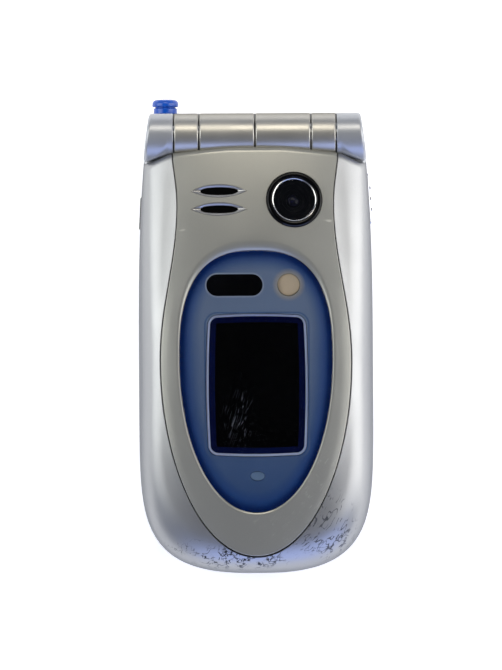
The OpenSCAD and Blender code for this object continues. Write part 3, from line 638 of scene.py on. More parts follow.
def rounded_rect(width: float, length: float, radius: float, steps: int = 8,
                 sides: int = 1) -> List[Point]:
    """Corner-rounded rectangle round the origin, anticlockwise.

    Args:
        width: Size along X.
        length: Size along Y.
        radius: Corner radius.
        steps: Segments a corner.
        sides: Segments a straight side.

    Returns:
        The outline's points.
    """
    points = []
    corners = ((1, 1, 0), (-1, 1, 90), (-1, -1, 180), (1, -1, 270))
    for sx, sy, start in corners:
        for k in range(steps + 1):
            a = math.radians(start + 90 * k / steps)
            points.append((sx * (width / 2 - radius) + radius * math.cos(a),
                           sy * (length / 2 - radius) + radius * math.sin(a)))
    if sides < 2:
        return points
    filled = []
    for k, start in enumerate(points):
        end = points[(k + 1) % len(points)]
        parts = sides if (k + 1) % (steps + 1) == 0 else 1
        filled += [(start[0] + (end[0] - start[0]) * n / parts,
                    start[1] + (end[1] - start[1]) * n / parts) for n in range(parts)]
    return filled


def prism(outline: Sequence[Point], low: float, high: float, bevel: float = 0.0,
          segments: int = 3, both: bool = False) -> Mesh:
    """Extrudes an outline upwards and rounds its upper edge.

    Args:
        outline: Points, anticlockwise.
        low: Height of the underside.
        high: Height of the top.
        bevel: Radius of the rounded edge, or 0 for none.
        segments: Steps of the rounding.
        both: Whether the lower edge is rounded too.

    Returns:
        The closed mesh in millimetres.
    """
    bm = bmesh.new()
    made = bmesh.ops.create_circle(bm, cap_ends=True, segments=len(outline), radius=1)["verts"]
    for vert, (x, y) in zip(made, outline):
        vert.co = Vector((x, y, low))
    top = bmesh.ops.extrude_face_region(bm, geom=list(bm.faces))["geom"]
    lifted = [g for g in top if isinstance(g, bmesh.types.BMVert)]
    bmesh.ops.translate(bm, verts=lifted, vec=(0, 0, high - low))
    if bevel > 0:
        rims = [e for e in bm.edges
                if all(abs(v.co.z - high) < 1e-6 for v in e.verts)
                or (both and all(abs(v.co.z - low) < 1e-6 for v in e.verts))]
        bmesh.ops.bevel(bm, geom=rims, offset=bevel, segments=segments, profile=0.5,
                        affect="EDGES", material=-1)
    bmesh.ops.recalc_face_normals(bm, faces=bm.faces)
    return bm


def turned(profile: Sequence[Point], steps: int = 96) -> Mesh:
    """Spins a profile of radius and height round the Z axis.

    Args:
        profile: Radius and height of each point, closed onto the axis at both ends.
        steps: Segments of a full turn.

    Returns:
        The closed mesh in millimetres.
    """
    bm = bmesh.new()
    verts = [bm.verts.new((r, 0, z)) for r, z in profile]
    edges = [bm.edges.new(pair) for pair in zip(verts, verts[1:])]
    bmesh.ops.spin(bm, geom=verts + edges, cent=(0, 0, 0), axis=(0, 0, 1), angle=math.tau,
                   steps=steps, use_merge=True)
    bmesh.ops.remove_doubles(bm, verts=bm.verts, dist=0.0005)
    bmesh.ops.recalc_face_normals(bm, faces=bm.faces)
    return bm


def round_corners(profile: Sequence[Point], radius: float, steps: int = 4) -> List[Point]:
    """Rounds a profile's inner corners with arcs.

    Args:
        profile: Points of an open line.
        radius: Radius of each corner, where there is room for it.
        steps: Segments an arc.

    Returns:
        The rounded line.
    """
    line = [profile[0]]
    for a, b, c in zip(profile, profile[1:], profile[2:]):
        before, here, after = Vector(a), Vector(b), Vector(c)
        reach = min(radius, (before - here).length * 0.45, (after - here).length * 0.45)
        start = here + (before - here).normalized() * reach
        end = here + (after - here).normalized() * reach
        for k in range(steps + 1):
            t = k / steps
            point = start * (1 - t) ** 2 + here * 2 * t * (1 - t) + end * t * t
            line.append((point.x, point.y))
    return line + [profile[-1]]


def shifted(bm: Mesh, matrix: Matrix) -> Mesh:
    """Moves a mesh by a matrix in millimetres, and gives it back."""
    bmesh.ops.transform(bm, matrix=matrix, verts=bm.verts)
    return bm


def joined(*parts: Mesh) -> Mesh:
    """Puts several meshes into the first one."""
    whole = parts[0]
    for part in parts[1:]:
        mesh = bpy.data.meshes.new("part")
        part.to_mesh(mesh)
        whole.from_mesh(mesh)
        part.free()
        bpy.data.meshes.remove(mesh)
    return whole


class Cut(Enum):
    """What a boolean step does with its tool."""

    TAKE_OUT = "DIFFERENCE"
    KEEP_COMMON = "INTERSECT"


def carve(bm: Mesh, tool: Mesh, how: Cut = Cut.TAKE_OUT) -> Mesh:
    """Carves one mesh with another.

    Args:
        bm: The mesh that is carved.
        tool: The closed carving shape, used up here.
        how: Whether the tool's space is taken out or kept.

    Returns:
        The carved mesh.
    """
    objects, whole = [], bm.calc_volume()
    for part in (bm, tool):
        mesh = bpy.data.meshes.new("carving")
        part.to_mesh(mesh)
        part.free()
        objects.append(bpy.data.objects.new("carving", mesh))
        bpy.context.scene.collection.objects.link(objects[-1])
    body, knife = objects
    step = body.modifiers.new("carve", "BOOLEAN")
    step.operation = how.value
    step.solver = "EXACT"
    step.object = knife
    graph = bpy.context.evaluated_depsgraph_get()
    result = bmesh.new()
    result.from_object(body, graph)
    for leftover in objects:
        mesh = leftover.data
        bpy.data.objects.remove(leftover)
        bpy.data.meshes.remove(mesh)
    bmesh.ops.remove_doubles(result, verts=result.verts, dist=0.0005)
    bmesh.ops.dissolve_degenerate(result, edges=result.edges, dist=0.0005)
    if result.calc_volume() < 0.02 * whole:
        raise RuntimeError("a carving step left nothing: its shapes cross themselves")
    return result


def settle(name: str, bm: Mesh, finishes: Sequence[Finish], body: str,
           nodes: Sequence[str] = (), sharp: float = SMOOTH_ANGLE) -> bpy.types.Object:
    """Makes a finished mesh a piece of the phone.

    Args:
        name: The piece's name.
        bm: Its mesh in millimetres, used up here.
        finishes: Its finishes, by material number.
        body: The body that it rides on.
        nodes: CAD nodes that it stands for.
        sharp: Angle over which an edge stays sharp.

    Returns:
        The new object.
    """
    bmesh.ops.scale(bm, vec=(MM, MM, MM), verts=bm.verts)
    mesh = bpy.data.meshes.new(name)
    bm.to_mesh(mesh)
    bm.free()
    mesh.shade_smooth()
    mesh.set_sharp_from_angle(angle=sharp)
    piece = bpy.data.objects.new(name, mesh)
    bpy.context.scene.collection.objects.link(piece)
    for finish in finishes:
        mesh.materials.append(FINISHER.material(finish))
    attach(piece, body)
    if nodes:
        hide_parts(*nodes)
    LOG.info("%s: %d faces on %s", name, len(mesh.polygons), body)
    return piece


# ---------------------------------------------------------------- the lid


@dataclass
class LidShell:
    """Lacquered outer shell: a band round the plate whose sides roll down to the parting line."""

    finish: Finish
    roll_r: float = 1.3
    roof: float = 2.1
    wall: float = 1.4
    lip_r: float = 0.14
    fall: float = 0.19
    fall_from: float = 0.45
    fall_run: float = 0.5
    plate: Optional["LidPlate"] = None

    def rows(self) -> List[Tuple[float, float]]:
        """Stations along the band, as side and share of the way from the tip to the hinge."""
        low = [k / 40 for k in range(41)]
        high = [1 + 0.93 * k / 36 for k in range(1, 37)]
        end = [1.93 + 0.07 * math.sin(math.pi / 2 * k / 12) for k in range(1, 13)]
        half = low + high + end + [2.0]
        return [(-1, s) for s in reversed(half[1:])] + [(1, s) for s in half]

    def across(self) -> List[float]:
        """Stations across the band, close together towards the rim."""
        fine = [0.0, 0.012, 0.03, 0.05]
        return fine + [0.05 + 0.95 * math.sin(math.pi / 2 * k / 20) for k in range(1, 21)]

    def flat_point(self, side: int, s: float, w: float) -> Tuple[Point, float]:
        """Plan point of a station, and its distance from the band's hinge end."""
        if s <= 1:
            a = math.pi / 2 * (1 - s)
            px, py = (self.plate.half * math.cos(a),
                      self.plate.wide_y - (self.plate.wide_y - self.plate.tip_y) * math.sin(a))
            grow = 1 + self.plate.seam / self.plate.half
            px, py = px * grow, PHONE.widest_y + (py - PHONE.widest_y) * grow
            inner = PHONE.share(px, py)
            scale = (inner + (1 - inner) * w) / inner
            return (side * px * scale, PHONE.widest_y + (py - PHONE.widest_y) * scale), 99.0
        y, x, end = PHONE.widest_y, 0.0, PHONE.lid_end
        for _ in range(4):
            inner = self.plate.edge_x(y) + self.plate.seam
            x = inner + (PHONE.side_x(y) - inner) * w
            end = PHONE.end_line(x)
            y = PHONE.widest_y + (s - 1) * (end - PHONE.widest_y)
        return (side * x, y), end - y

    def build(self) -> bpy.types.Object:
        """Makes the band and the block behind the plate's end."""
        rows, steps = self.rows(), self.across()
        count = len(steps)
        tops: Dict[Tuple[int, int], Tuple[Vector, Vector]] = {}
        for i, (side, s) in enumerate(rows):
            rim, _ = self.flat_point(side, s, 1.0)
            for j, w in enumerate(steps):
                (x, y), behind = self.flat_point(side, s, w)
                top = PHONE.lid_top(x, y)
                inset = math.dist((x, y), self.flat_point(side, s, 0.0)[0])
                drop = edge_round(behind, self.roll_r) + edge_round(inset, self.lip_r)
                steep = self.fall * eased((s - self.fall_from) / self.fall_run)
                drop += self.plate.curl_deep * (1 - w) ** 2 + steep * inset * (1 - w)
                high = max(PHONE.lid_z + 0.25, top - drop)
                low = PHONE.lid_z if math.dist((x, y), rim) < self.wall else min(
                    high, max(PHONE.lid_z, top - self.roof))
                tops[i, j] = (Vector((x, y, high)), Vector((x, y, low)))

        def place(i: int, j: int) -> Vector:
            """Point of the closed section."""
            row = min(max(i - 1, 0), len(rows) - 1)
            up, under = tops[row, j % (2 * count) if j % (2 * count) < count
                             else 2 * count - 1 - j % (2 * count)]
            if i in (0, len(rows) + 1):
                return (up + under) / 2
            return up if j % (2 * count) < count else under

        band = mapped_grid(len(rows) + 1, 2 * count, place)
        return settle("lid_shell", joined(band, self.end_block()), [self.finish], "lid",
                      ["lid_outer_shell"])

    def end_block(self) -> Mesh:
        """The shell's closed end behind the plate, hollowed for the barrel and the hinge arms."""
        half, back = PHONE.arm_end + 0.1, 37.9
        block = bmesh.new()
        bmesh.ops.create_cube(block, size=1)
        high = PHONE.crown(half, PHONE.lid_end) - 1.45
        shifted(block, Matrix.Translation((0, (back + PHONE.lid_end) / 2, (PHONE.lid_z + high) / 2))
                @ Matrix.Diagonal((2 * half, PHONE.lid_end - back, high - PHONE.lid_z, 1)))
        barrel = bar(-half - 1, half + 1, PHONE.barrel_r + PHONE.swing_gap, 128)
        return carve(block, barrel)


def bar(start: float, end: float, radius: float, segments: int = 96) -> Mesh:
    """Round bar along X on the hinge axis.

    Args:
        start: Its left end.
        end: Its right end.
        radius: Its radius.
        segments: Segments round it.

    Returns:
        The closed mesh in millimetres.
    """
    bm = bmesh.new()
    bmesh.ops.create_cone(bm, cap_ends=True, segments=segments, radius1=radius, radius2=radius,
                          depth=end - start)
    return shifted(bm, Matrix.Translation(((start + end) / 2, PHONE.hinge_y, PHONE.hinge_z))
                   @ Matrix.Rotation(math.pi / 2, 4, "Y"))


@dataclass
class LidPlate:
    """Painted plate set into the shell, with a valley round the oval window."""

    finish: Finish
    half: float = 19.8
    waist: float = 16.2
    flare: float = 1.1
    waist_y: float = 29.0
    top_y: float = 42.0
    wide_y: float = -3.6
    tip_y: float = -44.3
    thick: float = 1.2
    seam: float = 0.15
    edge_r: float = 0.12
    roll_r: float = 1.0
    valley_top: float = 2.2
    valley_side: float = 0.6
    valley_deep: float = 0.9
    valley_shallow: float = 0.2
    curl: float = 2.2
    curl_deep: float = 0.1
    window: Optional["Window"] = None

    def edge_x(self, y: float) -> float:
        """Half width of the plate beside and above its widest line."""
        if y > self.waist_y:
            return self.waist + self.flare * eased((y - self.waist_y) / (self.top_y - self.waist_y))
        return self.waist + (self.half - self.waist) * eased(
            (self.waist_y - y) / (self.waist_y - self.wide_y))

    def rim(self) -> List[Point]:
        """The plate's outline, anticlockwise from its tip, with its two corners kept."""
        low = [(self.half * math.cos(a), self.wide_y - (self.wide_y - self.tip_y) * math.sin(a))
               for a in (math.pi / 2 * (1 - k / 80) for k in range(81))]
        corner_y = PHONE.end_line(self.edge_x(40.4))
        side = [(self.edge_x(y), y) for y in
                (self.wide_y + (corner_y - self.wide_y) * k / 80 for k in range(1, 81))]
        right = even_path(low + side, 0.8)
        corner_x = right[-1][0]
        top = [(x, PHONE.end_line(x)) for x in (corner_x * (1 - k / 20) for k in range(41))]
        left = [(-x, y) for x, y in reversed(right)]
        return right + even_path(top, 0.8)[1:] + left[1:]

    def build(self, cutters: Sequence[Mesh]) -> bpy.types.Object:
        """Makes the plate and carves the places of its inlays."""
        rim = self.rim()
        inner, middle, outer, edge = 9, 16, 9, 3
        count = inner + middle + outer + edge

        def section(i: int) -> List[Vector]:
            """Points from the window's edge out to the rim and back below."""
            px, py = rim[i]
            wx, wy = self.window.on_ray(px, py)
            reach = math.dist((px, py), (wx, wy))
            up = max(0.0, (py - self.window.y) / math.dist((px, py), (0, self.window.y))) ** 3
            width = min(reach * 0.75, self.valley_side + (self.valley_top - self.valley_side) * up)
            deep = self.valley_shallow + (self.valley_deep - self.valley_shallow) * up
            last = min(self.roll_r * 1.25, (reach - width) * 0.6)
            fillet = min(self.edge_r, last * 0.4)
            ends = [width * k / inner for k in range(inner)]
            ends += [width + (reach - last - width) * k / middle for k in range(middle)]
            ends += [reach - last + (last - fillet) * math.sin(math.pi / 2 * k / outer)
                     for k in range(outer)]
            ends += [reach - fillet + fillet * math.sin(math.pi / 2 * k / edge)
                     for k in range(edge + 1)]
            points = []
            for d in ends:
                t = d / reach
                x, y = wx + (px - wx) * t, wy + (py - wy) * t
                z = PHONE.crown(x, y) - deep * max(0.0, 1 - d / width) ** 2
                z -= edge_round(reach - d, fillet) + edge_round(PHONE.end_line(x) - y, self.roll_r)
                z -= self.curl_deep * max(0.0, 1 - (reach - d) / self.curl) ** 2 * min(
                    1.0, max(0.0, (14.0 - y) / 12))
                points.append(Vector((x, y, z)))
            foot, heel = points[-1], points[0]
            base = Vector((foot.x, foot.y, PHONE.crown(foot.x, foot.y) - self.thick))
            if PHONE.end_line(foot.x) - foot.y < 0.01:
                base.z = foot.z - 0.25
            return points + [base, Vector((heel.x, heel.y, heel.z - self.thick)), heel]

        sections = [section(i) for i in range(len(rim))]
        band = mapped_grid(len(rim) - 1, count + 3, lambda i, j: sections[i][j])
        for cutter in cutters:
            band = carve(band, cutter)
        return settle("lid_plate_painted", band, [self.finish], "lid",
                      ["lid_plate"])


@dataclass
class Window:
    """Clear oval window, and the printed sheet under it with the rim of the display."""

    clear: Finish
    print_finish: Finish
    half: float = 16.0
    up: float = 22.5
    down: float = 32.2
    y: float = -3.1
    thick: float = 1.1
    power_up: float = 2.6
    power_down: float = 2.05
    edge_r: float = 0.15
    gap: float = 0.1
    sunk: float = 0.88

    def on_ray(self, x: float, y: float) -> Point:
        """Point of the window's outline on the ray from its centre to a point."""
        dx, dy = x, y - self.y
        length = math.hypot(dx, dy)
        c, s = dx / length, dy / length
        n, h = (self.power_up, self.up) if s >= 0 else (self.power_down, self.down)
        r = (abs(c / self.half) ** n + abs(s / h) ** n) ** (-1 / n)
        return c * r, self.y + s * r

    def disc(self, lift: float, thick: float, edge_r: float, grow: float, rings: int = 26,
             around: int = 288, sunk: float = 0.0) -> Mesh:
        """A slab under the crown with the window's outline.

        Args:
            lift: Height of its top over the crown.
            thick: Its thickness.
            edge_r: Radius of its upper edge.
            grow: Share by which the outline grows.
            rings: Steps from the middle to the edge.
            around: Steps round it.
            sunk: How much its top sinks at the hinge end.

        Returns:
            The closed mesh in millimetres.
        """
        def place(i: int, j: int) -> Vector:
            """Point of the slab's section on one ray."""
            a = math.tau * (i % around) / around
            ex, ey = self.on_ray(math.cos(a), self.y + math.sin(a))
            ex, ey = ex * grow, self.y + (ey - self.y) * grow
            reach = math.dist((ex, ey), (0, self.y))
            flat = reach - edge_r
            if j <= rings - 6:
                d = flat * j / (rings - 6)
            elif j <= rings:
                d = flat + edge_r * math.sin(math.pi / 2 * (j - rings + 6) / 6)
            else:
                d = reach * (rings + 5 - j) / 4 if j > rings + 1 else reach
            x, y = ex * d / reach, self.y + (ey - self.y) * d / reach
            top = PHONE.crown(x, y) + lift
            if j <= rings:
                low = sunk * max(0.0, (y - self.y) / self.up) ** 2
                return Vector((x, y, top - low - (edge_round(reach - d, edge_r) if edge_r else 0)))
            return Vector((x, y, top - thick))

        return mapped_grid(around, rings + 5, place)

    def build(self, openings: Sequence[Mesh]) -> List[bpy.types.Object]:
        """Makes the clear window and the print under it."""
        slab = self.disc(0.0, self.thick, self.edge_r, 0.998, sunk=self.sunk)
        pane = settle("outer_window", slab, [self.clear], "lid", ["sub_window"])
        sheet = self.disc(-self.thick - self.gap, 0.35, 0.0, 0.998, 32)
        for opening in openings:
            sheet = carve(sheet, opening)
        under = settle("window_print_and_shadow_line", sheet, [self.print_finish], "lid")
        share = under.data.attributes.new("inward", "FLOAT", "POINT")
        for k, vert in enumerate(under.data.vertices):
            x, y = vert.co.x / MM, vert.co.y / MM
            ex, ey = self.on_ray(x + 1e-6, y)
            share.data[k].value = math.dist((x, y), (ex, ey))
        return [pane, under]


def barrelled(points: Sequence[Point], half_w: float, half_l: float, across: float,
              along: float) -> List[Point]:
    """Bows the four sides of an outline outwards.

    Args:
        points: The outline.
        half_w: Half width at which the bow along the sides ends.
        half_l: Half length at which the bow along the sides ends.
        across: Growth of the half width at the middle.
        along: Growth of the half length at the middle.

    Returns:
        The bowed outline.
    """
    return [(x * (1 + across / half_w * (1 - min(1.0, abs(y) / half_l) ** 2)),
             y * (1 + along / half_l * (1 - min(1.0, abs(x) / half_w) ** 2))) for x, y in points]


def swept(width: float, length: float, radius: float, section: Sequence[Point], steps: int = 10,
          bow: Point = (0.0, 0.0)) -> Mesh:
    """Sweeps a closed section round a rounded rectangle.

    Args:
        width: Outer size along X.
        length: Outer size along Y.
        radius: Outer corner radius.
        section: Closed section as inset and height.
        steps: Segments a corner.
        bow: How far the long and the short sides bow outwards.

    Returns:
        The closed ring in millimetres.
    """
    loops = []
    for inset, _ in section:
        loop = rounded_rect(width - 2 * inset, length - 2 * inset, max(0.05, radius - inset), steps,
                            16)
        loops.append(barrelled(loop, width / 2, length / 2, *bow))
    around, levels = len(loops[0]), len(section)

    def place(i: int, j: int) -> Vector:
        """Point of the section on the loop."""
        x, y = loops[j % levels][i % around]
        return Vector((x, y, section[j % levels][1]))

    return mapped_grid(around, levels, place)


@dataclass
class OuterDisplay:
    """What shows through the outer window: the display in its rim, and three inlays."""

    rim: Finish
    navy: Finish
    glass: Finish
    pill: Finish
    flash: Finish
    lamp: Finish
    x: float = 0.2
    y: float = -8.7
    width: float = 21.0
    length: float = 29.3
    corner: float = 1.9
    corner_w: float = 20.2
    corner_l: float = 28.9
    bow: Point = (0.5, 0.4)
    band: float = 0.5
    wall: float = 1.25
    wall_deep: float = 1.5
    sensor: Point = (-4.4, 12.1)
    sensor_size: Point = (11.6, 4.45)
    flash_at: Point = (6.85, 12.1)
    flash_r: float = 2.3
    led_at: Point = (0.2, -27.6)
    led_size: Point = (3.0, 1.9)

    def openings(self) -> List[Mesh]:
        """Closed shapes that carve the places of the inlays, from below to above the lid."""
        grown = rounded_rect(self.corner_w + 0.1, self.corner_l + 0.1, self.corner, 10, 16)
        bowed = barrelled(grown, self.corner_w / 2, self.corner_l / 2, *self.bow)
        cuts = [prism([(self.x + px, self.y + py) for px, py in bowed], 10, 40)]
        for (x, y), (w, h), r in self.places()[1:3]:
            outline = [(x + px, y + py) for px, py in rounded_rect(w + 0.1, h + 0.1, r + 0.04, 10)]
            cuts.append(prism(outline, 10, 40))
        (x, y), (w, h), _ = self.places()[3]
        cuts.append(prism([(x + (w / 2 + 0.05) * math.cos(a), y + (h / 2 + 0.05) * math.sin(a))
                           for a in (math.tau * k / 48 for k in range(48))], 10, 40))
        return cuts

    def places(self) -> List[Tuple[Point, Point, float]]:
        """Place, size and corner radius of each inlay."""
        return [((self.x, self.y), (self.width, self.length), self.corner),
                (self.sensor, self.sensor_size, self.sensor_size[1] / 2 - 0.02),
                (self.flash_at, (2 * self.flash_r, 2 * self.flash_r), self.flash_r - 0.02),
                (self.led_at, self.led_size, self.led_size[1] / 2 - 0.02)]

    def build(self) -> List[bpy.types.Object]:
        """Makes the rim, the display, the dark pill, the flash and the lamp."""
        top = high_mm("display_bezel").z
        deep = top - self.wall_deep
        rounded = [(0.0, top - 1.8), (0.0, top - 0.2), (0.07, top - 0.06), (0.2, top),
                   (self.band - 0.12, top), (self.band - 0.03, top - 0.05), (self.band, top - 0.16),
                   (self.band + 0.04, top - 0.4), (self.band + 0.04, top - 1.8)]
        place = Matrix.Translation((self.x, self.y, 0))
        ring = shifted(swept(self.corner_w, self.corner_l, self.corner, rounded, bow=self.bow),
                       place)
        inner = [(self.band + 0.05, top - 0.3), (self.band + 0.2, top - 0.34),
                 (self.band + self.wall, deep), (self.band + self.wall, deep - 0.28),
                 (self.band + 0.05, deep - 0.28)]
        well = shifted(swept(self.corner_w, self.corner_l, self.corner, inner, bow=self.bow), place)
        pane = prism(rounded_rect(self.width - 0.4, self.length - 0.4, 0.6, 6),
                     low_mm("sub_display").z, high_mm("sub_display").z, 0.1, 2)
        pieces = [
            # The rim's near-white lavender colour is a painted highlight: the bright line round the
            # display
            settle("display_rim", ring, [self.rim], "lid", ["display_bezel"]),
            settle("display_well", well, [self.navy], "lid"),
            settle("outer_display", shifted(pane, place), [self.glass], "lid",
                   ["sub_display"])]
        names = (("sensor_pill", "sensor_window", self.pill, "gloss_black"),
                 ("flash_disc", "flash_lens", self.flash, "flash_cream"),
                 ("lamp_lens", "status_led", self.lamp, "led_lens"))
        for (name, node, finish, slot), ((x, y), (w, h), r) in zip(names, self.places()[1:]):
            outline = [(x + px, y + py) for px, py in rounded_rect(w, h, r, 12)]
            if name == "lamp_lens":
                outline = [(x + w / 2 * math.cos(a), y + h / 2 * math.sin(a))
                           for a in (math.tau * k / 48 for k in range(48))]
            lens = prism(outline, low_mm(node).z, high_mm(node).z, 0.1, 3)
            pieces.append(settle(name, lens, [finish], "lid", [node]))
        return pieces


@dataclass
class CameraEye:
    """Camera: a gloss ring, a cover glass and the lens under it."""

    ring: Finish
    glass: Finish
    barrel: Finish
    lens: Finish
    bright: Finish
    x: float = 8.15
    y: float = 29.9
    r: float = 5.8
    glass_r: float = 4.6
    lens_r: float = 1.25

    def cutter(self) -> Mesh:
        """Carves the camera's place."""
        return shifted(turned([(0, -6), (self.r + 0.12, -6), (self.r + 0.12, 8), (0, 8)], 128),
                       PHONE.tilt(self.x, self.y))

    def build(self) -> List[bpy.types.Object]:
        """Makes the ring, the glass, the stepped barrel and the lens."""
        tilt = PHONE.tilt(self.x, self.y)
        ring = round_corners([(self.glass_r + 0.1, -2.2), (self.r, -2.2), (self.r, 0.0),
                              (self.r - 0.3, 0.34),
                              (self.r - 0.7, 0.35), (self.glass_r + 0.22, 0.33),
                              (self.glass_r + 0.1, 0.1), (self.glass_r + 0.1, -2.2)], 0.08)
        pieces = [settle("camera_gloss_ring", shifted(turned(ring, 160), tilt), [self.ring], "lid",
                         ["camera_ring"])]
        slope = [(self.glass_r + 0.09 - 0.4 * math.sin(a), 0.16 - 0.4 * (1 - math.cos(a)))
                 for a in (math.radians(k) for k in range(12, 71, 6))]
        bevel = [(self.glass_r + 0.09, -0.9)] + slope + [(slope[-1][0], -0.9),
                                                         (self.glass_r + 0.09, -0.9)]
        pieces.append(settle("camera_bright_bevel", shifted(turned(bevel, 160), tilt),
                             [self.bright],
                             "lid"))
        clear_r = self.glass_r - 0.3
        cover = round_corners([(0, -0.3), (clear_r - 0.1, -0.3), (clear_r, -0.31), (clear_r, -0.62),
                               (clear_r - 0.1, -0.62), (0, -0.62)], 0.04)
        pieces.append(settle("camera_cover_glass", shifted(turned(cover, 128), tilt), [self.glass],
                             "lid",
                             ["camera_lens"]))
        foot = (low_mm("camera_module").z - PHONE.crown(self.x, self.y)) + 0.9
        steps = round_corners([(0, -2.1), (1.5, -2.1), (1.6, -1.75), (2.3, -1.7), (2.4, -1.4),
                               (3.2, -1.35), (3.3, -1.2), (self.glass_r - 0.25, -1.15),
                               (self.glass_r - 0.25, foot), (0, foot)], 0.05)
        pieces.append(settle("camera_barrel", shifted(turned(steps, 128), tilt), [self.barrel],
                             "lid",
                             ["camera_module"]))
        dome = [(0, -1.45)] + [(self.lens_r * math.sin(a), -2.0 + 0.55 * math.cos(a))
                               for a in (math.radians(k) for k in range(10, 91, 10))]
        dome += [(self.lens_r, -2.12), (0, -2.12)]
        pieces.append(settle("camera_eye", shifted(turned(dome, 64), tilt), [self.lens], "lid"))
        return pieces


@dataclass
class SpeakerTrims:
    """Two polished lens-shaped dishes, each with a dark slot."""

    polish: Finish
    dark: Finish
    x: float = -7.55
    y: float = 29.9
    pitch: float = 3.8
    width: float = 11.6
    height: float = 2.76
    slot_w: float = 7.9
    slot_h: float = 1.68
    deep: float = 0.3

    def edge(self, x: float, grow: float = 0.0) -> float:
        """Half height of the lens outline at a place across it."""
        bow = (self.width ** 2 / 4 + self.height ** 2 / 4) / self.height
        return max(0.0, math.sqrt(max(0.0, (bow + grow) ** 2 - x * x)) - bow + self.height / 2)

    def tilts(self) -> List[Matrix]:
        """Places of the two dishes on the crown."""
        return [PHONE.tilt(self.x, self.y + k * self.pitch / 2) for k in (-1, 1)]

    def outline(self, grow: float, count: int = 48) -> List[Point]:
        """The lens outline, grown."""
        half = self.width / 2 + grow * 1.8
        upper = [(half * math.cos(a), 0.0) for a in (math.pi * k / count for k in range(count))]
        upper = [(x, self.edge(x, grow)) for x, _ in upper]
        return upper + [(-x, -y) for x, y in upper]

    def cutters(self) -> List[Mesh]:
        """Carve the dishes' places."""
        return [shifted(prism(self.outline(0.04), -3, 4), tilt) for tilt in self.tilts()]

    def dish(self) -> Mesh:
        """One dish: rim, falling side, slot wall and underside."""
        rim = self.outline(0.0)
        count = len(rim)
        levels = [(0.0, -1.0), (0.0, -0.06), (0.04, 0.0), (0.12, 0.02), (0.2, 0.0)]
        levels += [(0.2 + 0.76 * k / 6, -self.deep * (k / 6) ** 1.15) for k in range(1, 7)]
        levels += [(1.0, -self.deep - 0.08), (1.0, -1.0)]

        def place(i: int, j: int) -> Vector:
            """Point between the rim and the slot."""
            share, z = levels[j % len(levels)]
            px, py = rim[i % count]
            a = math.tau * (i % count) / count
            sx = self.slot_w / 2 * signed_power(math.cos(a), 0.96)
            sy = self.slot_h / 2 * signed_power(math.sin(a), 0.96)
            return Vector((px + (sx - px) * share, py + (sy - py) * share, z))

        return mapped_grid(count, len(levels), place, 0.0005)

    def build(self) -> List[bpy.types.Object]:
        """Makes the dishes, and the dark gauze behind their slots."""
        dishes = [shifted(self.dish(), tilt) for tilt in self.tilts()]
        backs = [shifted(prism(rounded_rect(self.slot_w + 1.2, self.slot_h + 0.4, 0.4), -1.0,
                               -0.86), tilt)
                 for tilt in self.tilts()]
        return [settle("speaker_dishes", joined(*dishes), [self.polish], "lid",
                       ["speaker_trims"]),
                settle("speaker_gauze", joined(*backs), [self.dark], "lid")]


@dataclass
class LidInside:
    """The lid's inner frame with its two hinge arms, as seen when the phone is open."""

    finish: Finish
    share: float = 0.9216
    thick: float = 2.2
    end_y: float = 37.3
    web_from: float = 36.3
    web_top: float = 17.6
    slot_y: float = -40.6

    def build(self) -> bpy.types.Object:
        """Makes the frame, carves its window and its earpiece slot, and adds the arms."""
        rim = [(x * self.share, y * self.share) for x, y in PHONE.outline(self.end_y / self.share)]
        body = prism(rim, PHONE.lid_z, PHONE.lid_z + self.thick, 0.3, 3, both=True)
        low, high = low_mm("main_window"), high_mm("main_window")
        w, h, y = high.x - low.x, high.y - low.y, (high.y + low.y) / 2
        pane = prism([(px, py + y) for px, py in rounded_rect(w + 0.1, h + 0.1, 2.05)],
                     PHONE.lid_z - 1, PHONE.lid_z + 3)
        slot = prism([(px, py + self.slot_y) for px, py in rounded_rect(9, 1.6, 0.75)],
                     PHONE.lid_z - 1, PHONE.lid_z + 3)
        body = carve(carve(body, pane), slot)
        for side in (-1, 1):
            wing = shifted(turned([(0, PHONE.arm_end - 0.2), (PHONE.barrel_r + PHONE.swing_gap,
                                                              PHONE.arm_end - 0.2),
                                   (PHONE.barrel_r + PHONE.swing_gap, PHONE.wing_from),
                                   (PHONE.wing_r + PHONE.swing_gap, PHONE.wing_to),
                                   (PHONE.wing_r + PHONE.swing_gap, 27), (0, 27)], 96),
                           Matrix.Translation((0, PHONE.hinge_y, PHONE.hinge_z))
                           @ Matrix.Rotation(side * math.pi / 2, 4, "Y"))
            body = carve(body, wing)
        for side in (-1, 1):
            body = joined(body, self.arm(side))
        return settle("lid_chassis", body, [self.finish], "lid",
                      ["lid_inner_frame"])

    def arm(self, side: int) -> Mesh:
        """One arm: a barrel segment and the web that carries it."""
        start = PHONE.sleeve_end + PHONE.axial_gap
        end = PHONE.arm_end - PHONE.axial_gap
        barrel = sleeve(min(side * start, side * end), max(side * start, side * end),
                        PHONE.barrel_r)
        web = bmesh.new()
        bmesh.ops.create_cube(web, size=1)
        back = PHONE.hinge_y - 3.6
        shifted(web, Matrix.Translation((side * (start + end) / 2, (self.web_from + back) / 2,
                                         (PHONE.lid_z + self.web_top) / 2))
                @ Matrix.Diagonal((end - start - 0.02, back - self.web_from,
                                   self.web_top - PHONE.lid_z, 1)))
        return joined(barrel, web)


